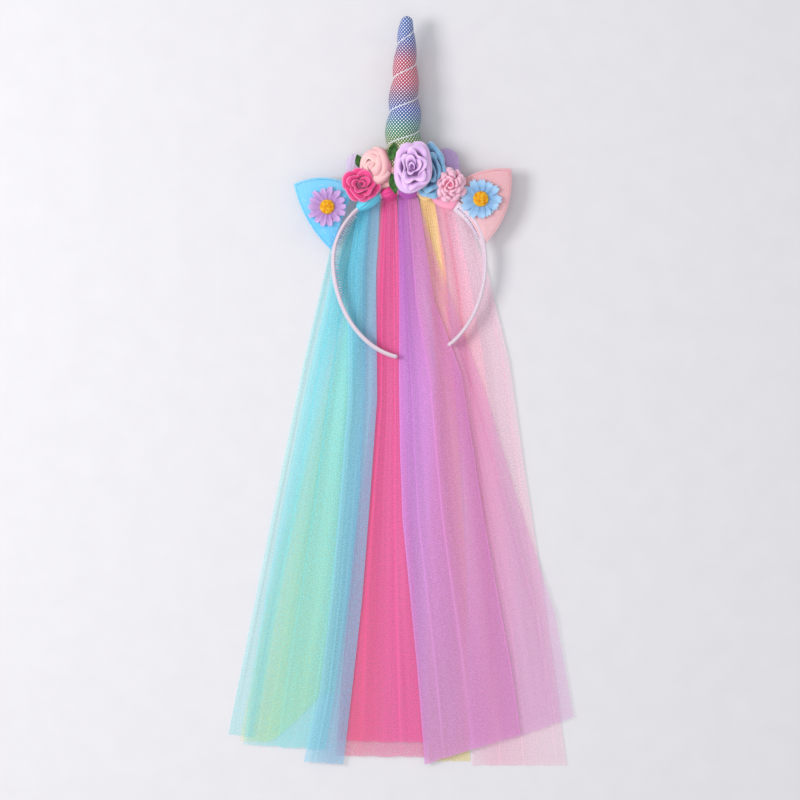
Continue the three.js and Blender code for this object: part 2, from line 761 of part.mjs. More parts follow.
// One cupped petal of unit size: its rows climb from the foot to the rim, each a thin curved section.
function petalBody(flower, ring, index) {
  const middleAngle = (2 * Math.PI * (index + ring.turn)) / ring.petals + radians(flower.turn);
  const halfSpread = (2 * Math.PI * ring.spread) / ring.petals;
  const thin = PETAL.thickness / flower.halfWidth;
  const rings = [];
  for (const climb of ring.climbs) {
    const nested = index % 2 === 1 ? PETAL.nesting : 0;
    const radius = mix(ring.foot, ring.rim - nested, climb ** PETAL.curl);
    const rise = mix(ring.footRise, ring.rimRise, climb);
    const outer = [];
    const inner = [];
    for (let point = 0; point < ring.points; point += 1) {
      const share = (2 * point) / (ring.points - 1) - 1;
      const angle = middleAngle + share * halfSpread * mix(PETAL.waist, 1, climb);
      const height = flower.height * (rise - PETAL.droop * climb * share * share);
      const place = (reach) => new THREE.Vector3(
        flower.halfWidth * reach * Math.cos(angle),
        flower.halfLength * reach * Math.sin(angle),
        height,
      );
      outer.push(place(radius));
      inner.unshift(place(radius - thin));
    }
    rings.push([...outer, ...inner]);
  }
  return solid(loft(rings));
}

function flowerBody(flower) {
  const core = turnedBody(FLOWER_CORE, FLOWER_CORE_SEGMENTS);
  core.scale(flower.halfWidth, flower.halfLength, flower.height);
  const petals = flower.rings.flatMap((ring) =>
    Array.from({ length: ring.petals }, (_, index) => petalBody(flower, ring, index)));
  return wasm.Manifold.union([solid(core), ...petals]).translate([flower.x, flower.y, flower.lift]);
}

// Room that a flower keeps for itself, a little larger than all its petals.
function flowerRoom(flower) {
  const room = turnedBody(FLOWER_ROOM, FLOWER_ROOM_SEGMENTS);
  room.scale(flower.halfWidth + GAP, flower.halfLength + GAP, flower.height + GAP);
  return solid(room.translate(flower.x, flower.y, flower.lift - GAP / 2));
}

function lobeOutline(lobe) {
  const points = [];
  const turn = radians(lobe.turn);
  const count = lobe.shape.outlinePoints;
  for (let index = 0; index < count; index += 1) {
    const angle = (2 * Math.PI * index) / count;
    const taper = Math.abs(Math.cos(angle)) ** lobe.shape.taper;
    const point = new THREE.Vector2(lobe.halfWidth * Math.cos(angle) * taper, lobe.halfLength * Math.sin(angle));
    points.push(point.rotateAround(new THREE.Vector2(), turn));
  }
  return points;
}

function lobeBody(lobe) {
  const { rim, halfThickness, dome, rings } = lobe.shape;
  return solid(pad(lobeOutline(lobe), rim, halfThickness, dome, rings)).translate([lobe.x, lobe.y, lobe.lift]);
}

// Height of the folds at a place on the veil; every layer follows it.
function foldHeight(x, fall, along) {
  const apexDistance = FOLDS.apexAbove + fall * VEIL.length;
  const turn = (x - FOLDS.middleX) / apexDistance / FOLDS.spacing;
  const wave = (1 + Math.cos(2 * Math.PI * turn)) / 2;
  const rise = mix(FOLDS.riseAtKnots, FOLDS.rise, fade(fall, 0, FOLDS.riseReached));
  return rise * (1 - fade(along, FOLDS.fadeFrom, FOLDS.flatHem)) * wave;
}

// How far the middle of a knot's lower wall lies below the hoop's middle line.
function knotDrop(angle) {
  const { twist } = bandFrame(angle);
  const wallAt = (extra) => Math.min(
    (bandHalfWidth(angle) + extra) / Math.cos(twist),
    (BAND.thickness / 2 + extra) / Math.abs(Math.sin(twist)),
  );
  return (wallAt(GAP) + wallAt(KNOT.padding)) / 2;
}

// One side of a strip as a table of falls and widths, from its place on the hoop down to its hem.
function stripSide(strip, angle, column) {
  const start = hoopPoint(angle);
  const inset = strip.knot ? 0 : VEIL.tailInset;
  const startFall = (VEIL.topY - start.y + inset) / VEIL.length;
  const rows = strip.edges.filter((row) => row.fall > startFall);
  const below = rows.map((row) => ({ fall: row.fall, x: row[column] * VEIL.halfSpread }));
  return [{ fall: startFall, x: start.x }, ...below];
}

function stripBody(strip) {
  const left = stripSide(strip, strip.from, "left");
  const right = stripSide(strip, strip.to, "right");
  const rings = STRIP_STATIONS.map((along) => {
    const leftFall = mix(left[0].fall, strip.hemLeft, along);
    const rightFall = mix(right[0].fall, strip.hemRight, along);
    const leftX = tableValue(left, "fall", leftFall, "x");
    const rightX = tableValue(right, "fall", rightFall, "x");
    const under = [];
    const over = [];
    for (let column = 0; column <= strip.columns; column += 1) {
      const share = column / strip.columns;
      const x = mix(leftX, rightX, share);
      const fall = mix(leftFall, rightFall, share);
      const lift = VEIL.liftAtKnots * (1 - fade(fall, 0, VEIL.liftEnds));
      let z = strip.layer * VEIL.layerPitch + lift + foldHeight(x, fall, along);
      if (strip.knot) {
        const angle = mix(strip.from, strip.to, share);
        const held = hoopPoint(angle).z - knotDrop(angle) - VEIL.cloth / 2;
        z = mix(held, z, fade(along * VEIL.length, 0, VEIL.climbLength));
      }
      const y = VEIL.topY - fall * VEIL.length;
      under.push(new THREE.Vector3(x, y, z));
      over.unshift(new THREE.Vector3(x, y, z + VEIL.cloth));
    }
    return [...under, ...over];
  });
  return solid(loft(rings));
}

const band = bandBody(0);
const bandRoom = bandBody(GAP);
const knotRoom = knotRoomBody();
// The horn stands on the knots at the crown.
const hornFoot = new THREE.Vector3(HORN.footX, knotRoom.boundingBox().max[1], HORN.footLift);
const hornRoom = hornRoomBody();

const headpiece = new THREE.Group();
const hoopCentre = new THREE.Vector3(HOOP.centreX, HOOP.centreY, HOOP.crownLift);
const bandSolid = wasm.Manifold.union([band, ...combTeeth()]);
headpiece.add(piece("band", largestBody(bandSolid), "#e1cddc", hoopCentre, { roughness: 0.45 }));

headpiece.add(piece("horn", hornBody(), "#7a8cc8", hornFoot, { roughness: 0.4, metalness: 0.4 }));
headpiece.add(piece("horn_cord", hornCord(), "#eef0f4", hornFoot, { roughness: 0.35, metalness: 0.5 }));

const earRooms = [];
const daisyRooms = [];
EARS.forEach((ear, index) => {
  const daisy = DAISIES[index];
  const lift = daisyLift(ear);
  const cut = earBody(ear, 0).subtract(bandRoom).subtract(knotRoom);
  const anchor = new THREE.Vector3(ear.tip[0], ear.tip[1], earLift(ear));
  headpiece.add(piece(ear.name, largestBody(cut), ear.colour, anchor));
  earRooms.push(earBody(ear, GAP));
  daisyRooms.push(daisyRoom(daisy, lift));
  for (const [part, geometry, colour, height] of [
    ["petals", daisyPetals(daisy), daisy.colour, lift],
    ["heart", daisyHeart(daisy), HEART_COLOUR, lift + daisyHeight() + GAP],
  ]) {
    const mesh = piece(`${daisy.name}_${part}`, geometry, colour, new THREE.Vector3());
    mesh.position.set(daisy.x, daisy.y, height);
    headpiece.add(mesh);
  }
});

const taken = [bandRoom, knotRoom, hornRoom, ...earRooms, ...daisyRooms];
for (const flower of FLOWERS) {
  const cut = flowerBody(flower).subtract(wasm.Manifold.union(taken));
  const anchor = new THREE.Vector3(flower.x, flower.y, flower.lift);
  headpiece.add(piece(flower.name, largestBody(cut), flower.colour, anchor));
  taken.push(flowerRoom(flower));
}
for (const lobe of LOBES) {
  const cut = lobeBody(lobe).subtract(wasm.Manifold.union(taken));
  const anchor = new THREE.Vector3(lobe.x, lobe.y, lobe.lift);
  headpiece.add(piece(lobe.name, largestBody(cut.translate(lobe.slide)), lobe.colour, anchor));
}

const veil = new THREE.Group();
for (const strip of STRIPS) {
  const joined = strip.knot
    ? stripBody(strip).add(knotBody(strip)).subtract(bandRoom)
    : stripBody(strip).subtract(knotRoom);
  veil.add(piece(strip.name, largestBody(joined), strip.colour, new THREE.Vector3(0, VEIL.topY, 0)));
}

// The origin is the middle of the whole thing's outline, on the surface it lies on.
const laid = new THREE.Group();
laid.add(headpiece, veil);
laid.updateMatrixWorld(true);
const bounds = new THREE.Box3().setFromObject(laid, true);
const middle = bounds.getCenter(new THREE.Vector3());
laid.position.set(-middle.x, -middle.y, -bounds.min.z);

const headband = new THREE.Group();
headband.add(laid);

export default headband;
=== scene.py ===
"""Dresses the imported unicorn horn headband: camera, light, floor, and every visible piece in cloth, felt and net."""

import logging
import math
import random
from dataclasses import dataclass, field
from enum import Enum
from typing import Callable, Optional, Sequence

import bmesh
import bpy
from mathutils import Matrix, Vector, noise

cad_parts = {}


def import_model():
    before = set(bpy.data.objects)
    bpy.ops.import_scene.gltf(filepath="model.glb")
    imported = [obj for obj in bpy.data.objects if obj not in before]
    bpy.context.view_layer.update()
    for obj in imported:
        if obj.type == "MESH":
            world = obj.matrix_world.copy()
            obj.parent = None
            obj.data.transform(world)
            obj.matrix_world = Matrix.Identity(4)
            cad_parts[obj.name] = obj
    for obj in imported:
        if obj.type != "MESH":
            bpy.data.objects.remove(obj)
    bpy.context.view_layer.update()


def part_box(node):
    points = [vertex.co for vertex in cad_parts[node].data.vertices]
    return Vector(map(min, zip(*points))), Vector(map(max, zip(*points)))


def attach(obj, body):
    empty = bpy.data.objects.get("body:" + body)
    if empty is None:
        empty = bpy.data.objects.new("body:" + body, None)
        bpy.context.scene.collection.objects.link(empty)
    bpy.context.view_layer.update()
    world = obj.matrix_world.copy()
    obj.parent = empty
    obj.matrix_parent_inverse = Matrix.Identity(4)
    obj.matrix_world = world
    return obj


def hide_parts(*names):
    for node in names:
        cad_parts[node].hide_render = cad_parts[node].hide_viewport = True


LOG = logging.getLogger("headband")
MM = 0.001
# The drawing's origin in the row frame, in millimetres.
DRAWING = Vector((0.496, -2.577, 0.0))
Colour = tuple[float, float, float]
Row = tuple[float, ...]
Place = Callable[[float, float], Vector]
GOLDEN_TURN = math.pi * (3 - math.sqrt(5))


class Chart(Enum):
    """Which coordinates a pattern follows: the place in space or the piece's own map."""

    SPACE = "Object"
    CLOTH = "UV"


def tint(red: int, green: int, blue: int) -> Colour:
    """Turn a colour as it is seen, from 0 to 255, into linear light.

    Args:
        red: Red share.
        green: Green share.
        blue: Blue share.

    Returns:
        The linear colour.
    """
    shares = (value / 255 for value in (red, green, blue))
    return tuple(v / 12.92 if v <= 0.04045 else ((v + 0.055) / 1.055) ** 2.4 for v in shares)


def mix(start: float, end: float, share: float) -> float:
    """Go the given share of the way from start to end."""
    return start + (end - start) * share


def fade(value: float, low: float, high: float) -> float:
    """Rise smoothly from 0 at low to 1 at high."""
    share = min(max((value - low) / (high - low), 0.0), 1.0)
    return share * share * (3 - 2 * share)


def read(rows: Sequence[Row], at: float, column: int = 1) -> float:
    """Read a table between its rows.

    Args:
        rows: Rows whose first number rises.
        at: Where in the first column.
        column: Which column to read.

    Returns:
        The value in that column.
    """
    if at <= rows[0][0]:
        return rows[0][column]
    for before, after in zip(rows, rows[1:]):
        if at <= after[0]:
            return mix(before[column], after[column], (at - before[0]) / (after[0] - before[0]))
    return rows[-1][column]


def place(x: float, y: float, z: float) -> Vector:
    """Turn millimetres of the drawing into a point of the row frame."""
    return (Vector((x, y, z)) + DRAWING) * MM


def swung(centre: Sequence[float], turn: float, x: float, y: float) -> tuple[float, float]:
    """Turn a flat offset by some radians and add it to a centre."""
    cos, sin = math.cos(turn), math.sin(turn)
    return centre[0] + x * cos - y * sin, centre[1] + x * sin + y * cos


def turned(centre: Sequence[float], turn: float, x: float, y: float, z: float) -> Vector:
    """Place a point that is given in a frame turned about a centre, at a height of the drawing."""
    return place(*swung(centre, turn, x, y), z)


def stretch(wide: float, long: float) -> Place:
    """Make a cloth map that stretches the two shares to metres."""
    return lambda across, along: Vector((across * wide, along * long))


def show(name: str, data: bpy.types.ID) -> bpy.types.Object:
    """Put a mesh, a lamp or a camera into the scene.

    Args:
        name: The object's name.
        data: The mesh, lamp or camera.

    Returns:
        The object.
    """
    made = bpy.data.objects.new(name, data)
    bpy.context.scene.collection.objects.link(made)
    return made


class Shader:
    """Short names for making and joining the nodes of one material."""

    def __init__(self, name: str) -> None:
        """Start an empty material.

        Args:
            name: The material's name.
        """
        self.material = bpy.data.materials.new(name)
        self.material.use_nodes = True
        self.tree = self.material.node_tree
        self.tree.nodes.clear()

    def add(self, kind: str, inputs: Optional[dict] = None, **settings: object) -> bpy.types.Node:
        """Add a node.

        Args:
            kind: The node's type without its prefix.
            inputs: Values or sockets by input name or number.
            **settings: Attributes of the node.

        Returns:
            The node.
        """
        node = self.tree.nodes.new("ShaderNode" + kind)
        for key, value in settings.items():
            setattr(node, key, value)
        for key, value in (inputs or {}).items():
            if isinstance(value, bpy.types.NodeSocket):
                self.tree.links.new(value, node.inputs[key])
            else:
                node.inputs[key].default_value = value
        return node

    def where(self, scale: Row = (1.0, 1.0, 1.0), chart: Chart = Chart.SPACE) -> bpy.types.NodeSocket:
        """Coordinates of a chart in metres, stretched by a scale."""
        given = self.add("TexCoord").outputs[chart.value]
        return self.add("Mapping", {"Vector": given, "Scale": scale}).outputs[0]

    def cloth(self, scale: Row = (1.0, 1.0, 1.0)) -> bpy.types.NodeSocket:
        """Place on the piece's own map, stretched by a scale."""
        return self.where(scale, Chart.CLOTH)

    def stored(self, name: str) -> bpy.types.NodeSocket:
        """Number that is stored on the mesh under a name."""
        return self.add("Attribute", attribute_name=name).outputs["Fac"]

    def grain(self, vector: bpy.types.NodeSocket, scale: float, detail: float = 2.0) -> bpy.types.NodeSocket:
        """Noise between 0 and 1."""
        return self.add("TexNoise", {"Vector": vector, "Scale": scale, "Detail": detail}).outputs[0]

    def count(self, operation: str, first: object, second: object = 0.0, clamp: bool = False) -> bpy.types.NodeSocket:
        """Work out one number from two."""
        return self.add("Math", {0: first, 1: second}, operation=operation, use_clamp=clamp).outputs[0]

    def times(self, first: object, second: object) -> bpy.types.NodeSocket:
        """Multiply two numbers."""
        return self.count("MULTIPLY", first, second)

    def less(self, first: object, second: object) -> bpy.types.NodeSocket:
        """Take the second number from the first."""
        return self.count("SUBTRACT", first, second)

    def span(self, value: object, given: Row = (0.0, 1.0), made: Row = (0.0, 1.0), smooth: bool = False) -> object:
        """Carry a number from one range to another, held at its ends."""
        inputs = {0: value, 1: given[0], 2: given[1], 3: made[0], 4: made[1]}
        return self.add("MapRange", inputs, interpolation_type="SMOOTHSTEP" if smooth else "LINEAR").outputs[0]

    def ramp(self, factor: bpy.types.NodeSocket, stops: Sequence[tuple[float, Colour]]) -> bpy.types.NodeSocket:
        """Colour by a factor.

        Args:
            factor: From 0 to 1.
            stops: Places from 0 to 1 with their colours.

        Returns:
            The colour.
        """
        node = self.add("ValToRGB", {0: factor})
        band = node.color_ramp
        while len(band.elements) < len(stops):
            band.elements.new(0.5)
        for element, (at, colour) in zip(band.elements, stops):
            element.position = at
            element.color = (*colour, 1)
        return node.outputs[0]

    def blend(self, factor: object, first: object, second: object) -> bpy.types.NodeSocket:
        """Mix two colours by a factor."""
        colours = [c if isinstance(c, bpy.types.NodeSocket) else (*c, 1) for c in (first, second)]
        return self.add("Mix", {0: factor, 6: colours[0], 7: colours[1]}, data_type="RGBA").outputs[2]

    def bump(self, height: bpy.types.NodeSocket, distance: float, strength: float = 1.0) -> bpy.types.NodeSocket:
        """Normal of a surface with small heights.

        Args:
            height: Heights from 0 to 1.
            distance: Metres that a height of 1 stands for.
            strength: Share of the effect.

        Returns:
            The normal.
        """
        return self.add("Bump", {"Height": height, "Distance": distance, "Strength": strength}).outputs[0]

    def finish(self, colour: object, roughness: object, specular: float = 0.5, **more: object) -> bpy.types.Material:
        """Close the material with a Principled shader.

        Args:
            colour: Base colour.
            roughness: Roughness.
            specular: Strength of the reflections.
            **more: Further inputs, with underscores for the spaces in their names.

        Returns:
            The material.
        """
        inputs = {"Base Color": colour, "Roughness": roughness, "Specular IOR Level": specular}
        inputs.update({key.replace("_", " "): value for key, value in more.items()})
        shader = self.add("BsdfPrincipled", inputs)
        self.add("OutputMaterial", {0: shader.outputs[0]})
        return self.material


@dataclass(frozen=True)
class NetFinish:
    """See-through net whose colour and density change down its length and across it."""

    name: str
    head: Colour
    body: Colour
    hem: Colour
    cover: float
    hem_cover: float
    far: Optional[Colour] = None
    length: float = 0.51
    streak: float = 0.09
    speckle: float = 0.32
    single_from: float = 1.0
    single_cut: float = 0.45
    holes: float = 760
    dots: float = 900

    def material(self) -> bpy.types.Material:
        """Make the net: fine holes, long soft streaks, and the density stored on the cloth.

        Returns:
            The material.
        """
        shader = Shader(self.name)
        along = shader.add("SeparateXYZ", {0: shader.cloth((1, 1 / self.length, 1))}).outputs[1]
        colour = shader.ramp(along, ((0.0, self.head), (0.35, self.body), (1.0, self.hem)))
        across = shader.stored("across")
        if self.far:
            share = shader.span(across, (0.2, 0.7), smooth=True)
            colour = shader.blend(share, colour, self.far)
        own = shader.add("CombineXYZ", {0: across, 1: along})
        streaks = shader.grain(shader.add("Mapping", {0: own.outputs[0], "Scale": (11, 2.2, 1)}).outputs[0], 1, 2)
        pale = tuple(mix(c, 1.0, 0.3) for c in self.body)
        colour = shader.blend(shader.times(streaks, 0.3), colour, pale)
        mesh = shader.add(
            "TexVoronoi", {"Vector": shader.cloth(), "Scale": self.holes, "Randomness": 0.45}, feature="F1"
        ).outputs[0]
        threads = shader.less(shader.times(mesh, 1.6), 0.75)
        dots = shader.less(shader.grain(shader.cloth(), self.dots, 1), 0.5)
        fine = shader.times(shader.count("ADD", threads, dots), self.speckle)
        cover = shader.span(along, made=(self.cover, self.hem_cover))
        density = shader.stored("layers")
        cover = shader.times(cover, density)
        single = shader.count("GREATER_THAN", along, self.single_from)
        left = shader.less(1.0, shader.times(single, self.single_cut))
        cover = shader.times(cover, left)
        wave = shader.times(shader.less(streaks, 0.5), self.streak)
        alpha = shader.count("ADD", shader.count("ADD", cover, fine), wave, clamp=True)
        return shader.finish(colour, 0.8, 0.1, Alpha=alpha, Normal=shader.bump(mesh, 0.0002, 0.12))


@dataclass(frozen=True)
class FeltFinish:
    """Felt with short fibres, soft blotches, a few glitter specks and painted light and shade from the ear's foot to
    its tip.
    """

    name: str
    colour: Colour
    # Painted light and shade: the colour at the ear's foot, paler than the tip on the pink ear and deeper on the blue
    # one.
    foot_light_and_shade: Colour
    low_from: float
    low_to: float

    def material(self) -> bpy.types.Material:
        """Make the felt, with painted light and shade that shifts its colour between the ear's foot and its tip.

        Returns:
            The material.
        """
        shader = Shader(self.name)
        space = shader.where()
        height = shader.add("SeparateXYZ", {0: space}).outputs[1]
        # Painted light and shade: the colour runs along y from the foot's colour to the tip's.
        share = shader.span(height, (self.low_from, self.low_to))
        colour = shader.blend(share, self.foot_light_and_shade, self.colour)
        fibres = shader.grain(space, 1500, 4)
        blotches = shader.grain(space, 60, 3)
        pale = tuple(mix(c, 1.0, 0.35) for c in self.colour)
        colour = shader.blend(shader.times(blotches, 0.35), colour, pale)
        specks = shader.add("TexVoronoi", {"Vector": space, "Scale": 420}, feature="F1").outputs[0]
        glitter = shader.count("LESS_THAN", specks, 0.16)
        colour = shader.blend(shader.times(glitter, 0.5), colour, (0.95, 0.97, 1.0))
        rough = shader.span(glitter, made=(0.95, 0.35))
        return shader.finish(colour, rough, 0.2, Sheen_Weight=0.5, Normal=shader.bump(fibres, 0.0004, 0.6))


@dataclass(frozen=True)
class PetalFinish:
    """Pressed cloth petals with painted shade in the throat, a painted highlight at the rim and fine fibres up the
    petal.
    """

    name: str
    # throat_shade is painted shade deep among the petals; rim is a painted highlight on the petal edges.
    throat_shade: Colour
    body: Colour
    rim: Colour
    sheen: float = 0.35

    def material(self) -> bpy.types.Material:
        """Make the petals' cloth; the map's second axis runs from foot to rim.

        Returns:
            The material.
        """
        shader = Shader(self.name)
        climb = shader.add("SeparateXYZ", {0: shader.cloth()}).outputs[1]
        # Painted shade darkens the petals towards the throat, and the rim colour is a painted highlight at their edges;
        # the random pale clouds below take the rim's colour.
        half = tuple(mix(dark, light, 0.36) for dark, light in zip(self.throat_shade, self.body))
        stops = ((0.0, self.throat_shade), (0.56, half), (0.8, self.body), (0.92, self.body), (1.0, self.rim))
        colour = shader.ramp(climb, stops)
        fibres = shader.grain(shader.cloth((60, 5, 1)), 1.0, 3)
        cloudy = shader.grain(shader.where(), 180, 2)
        colour = shader.blend(shader.times(cloudy, 0.3), colour, self.rim)
        return shader.finish(
            colour,
            0.6,
            0.3,
            Sheen_Weight=self.sheen,
            Subsurface_Weight=0.15,
            Subsurface_Radius=(0.004, 0.002, 0.002),
            Subsurface_Scale=0.5,
            Normal=shader.bump(fibres, 0.0003, 0.5),
        )


@dataclass(frozen=True)
class SatinFinish:
    """Ribbed satin ribbon wrapped lengthways round the hoop."""

    name: str
    colour: Colour
    shade: Colour

    def material(self) -> bpy.types.Material:
        """Make the satin; the map's first axis runs across the ribbon in metres.

        Returns:
            The material.
        """
        shader = Shader(self.name)
        ribs = shader.add(
            "TexWave", {"Vector": shader.cloth(), "Scale": 380, "Distortion": 0.4}, bands_direction="X"
        ).outputs[1]
        worn = shader.grain(shader.where(), 240, 3)
        colour = shader.blend(shader.times(ribs, 0.45), self.colour, self.shade)
        colour = shader.blend(shader.times(worn, 0.25), colour, (0.93, 0.9, 0.94))
        rough = shader.span(worn, made=(0.38, 0.6))
        return shader.finish(colour, rough, Sheen_Weight=0.3, Normal=shader.bump(ribs, 0.0003, 0.6))


@dataclass(frozen=True)
class HornFinish:
    """Rainbow cloth under a net of silver dots."""

    name: str
    stops: tuple[tuple[float, Colour], ...]
    pitch: float
    length: float

    def material(self) -> bpy.types.Material:
        """Make the horn's skin; the map runs round and up the horn in metres.

        Returns:
            The material.
        """
        shader = Shader(self.name)
        along = shader.add("SeparateXYZ", {0: shader.cloth((1, 1 / self.length, 1))}).outputs[1]
        colour = shader.ramp(along, self.stops)
        per_dot = (1 / self.pitch, 1 / self.pitch, 1)
        slanted = shader.add(
            "Mapping", {"Vector": shader.cloth(per_dot), "Rotation": (0, 0, math.radians(45))}
        ).outputs[0]
        cells = shader.add("TexVoronoi", {"Vector": slanted, "Scale": 1.0, "Randomness": 0.0}, feature="F1").outputs[0]
        dots = shader.span(cells, (0.33, 0.25))
        dots = shader.times(dots, 0.92)
        deep = shader.blend(0.3, colour, (0.01, 0.01, 0.03))
        colour = shader.blend(dots, deep, (0.95, 0.97, 1.0))
        rough = shader.span(dots, made=(0.7, 0.4))
        return shader.finish(colour, rough, 0.25, Normal=shader.bump(dots, 0.0003, 0.6))


@dataclass(frozen=True)
class GrainFinish:
    """Small-grained surface whose colour wanders between two: hearts, cord, stitches, teeth and leaves."""

    name: str
    first: Colour
    second: Colour
    grain: float
    roughness: float = 0.8
    depth: float = 0.0002

    def material(self) -> bpy.types.Material:
        """Make the finish.

        Returns:
            The material.
        """
        shader = Shader(self.name)
        spots = shader.grain(shader.where(), self.grain, 3)
        colour = shader.ramp(spots, ((0.35, self.first), (0.65, self.second)))
        return shader.finish(colour, self.roughness, 0.3, Normal=shader.bump(spots, self.depth, 0.6))


class Workbench:
    """Turns bmeshes into finished pieces."""

    def skin(
        self, columns: int, rows: int, spot: Place, chart: Optional[Place] = None, joined: bool = False
    ) -> bmesh.types.BMesh:
        """Bend a grid into a surface.

        Args:
            columns: Faces across.
            rows: Faces along.
            spot: Place of a point by its shares across and along.
            chart: Its place on the cloth's map; the two shares if left out.
            joined: True to join edges that meet, fill the open ends and turn the faces outwards.

        Returns:
            The surface.
        """
        bm = bmesh.new()
        bmesh.ops.create_grid(bm, x_segments=columns, y_segments=rows, size=0.5)
        layer = bm.loops.layers.uv.new("cloth")
        self.smooth(bm)
        for face in bm.faces:
            for loop in face.loops:
                across, along = loop.vert.co.x + 0.5, loop.vert.co.y + 0.5
                loop[layer].uv = chart(across, along).xy if chart else (across, along)
        for vert in bm.verts:
            vert.co = spot(vert.co.x + 0.5, vert.co.y + 0.5)
        if joined:
            bmesh.ops.remove_doubles(bm, verts=bm.verts, dist=1e-6)
            bmesh.ops.holes_fill(bm, edges=[edge for edge in bm.edges if edge.is_boundary], sides=0)
            bmesh.ops.recalc_face_normals(bm, faces=bm.faces)
        return bm

    def smooth(self, bm: bmesh.types.BMesh) -> None:
        """Shade all faces smoothly."""
        for face in bm.faces:
            face.smooth = True

    def layers(self, bm: bmesh.types.BMesh, count: float) -> None:
        """Store one number of cloth layers on every point of a net.

        Args:
            bm: The surface.
            count: The number of layers.
        """
        density = bm.verts.layers.float.new("layers")
        for vert in bm.verts:
            vert[density] = count

    def join(self, parts: Sequence[bmesh.types.BMesh]) -> bmesh.types.BMesh:
        """Put several surfaces into one mesh.

        Args:
            parts: The surfaces, which are used up.

        Returns:
            The mesh.
        """
        whole = bmesh.new()
        for part in parts:
            mesh = bpy.data.meshes.new("part")
            part.to_mesh(mesh)
            part.free()
            whole.from_mesh(mesh)
            bpy.data.meshes.remove(mesh)
        return whole

    def piece(
        self,
        name: str,
        bm: bmesh.types.BMesh,
        material: bpy.types.Material,
        slot: str,
        replaces: Sequence[str] = (),
        wall: float = 0.0,
    ) -> bpy.types.Object:
        """Make an object that rides on the root body.

        Args:
            name: The piece's name.
            bm: Its mesh, in metres and in place.
            material: Its finish.
            slot: Not used.
            replaces: The CAD nodes that it stands for.
            wall: Thickness given to a thin surface.

        Returns:
            The object.
        """
        mesh = bpy.data.meshes.new(name)
        bm.to_mesh(mesh)
        bm.free()
        mesh.materials.append(material)
        made = show(name, mesh)
        if wall:
            made.modifiers.new("wall", "SOLIDIFY").thickness = wall
            made.modifiers["wall"].offset = 0
        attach(made, "root")
        if replaces:
            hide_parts(*replaces)
        LOG.info("%s: %d faces", name, len(mesh.polygons))
        return made


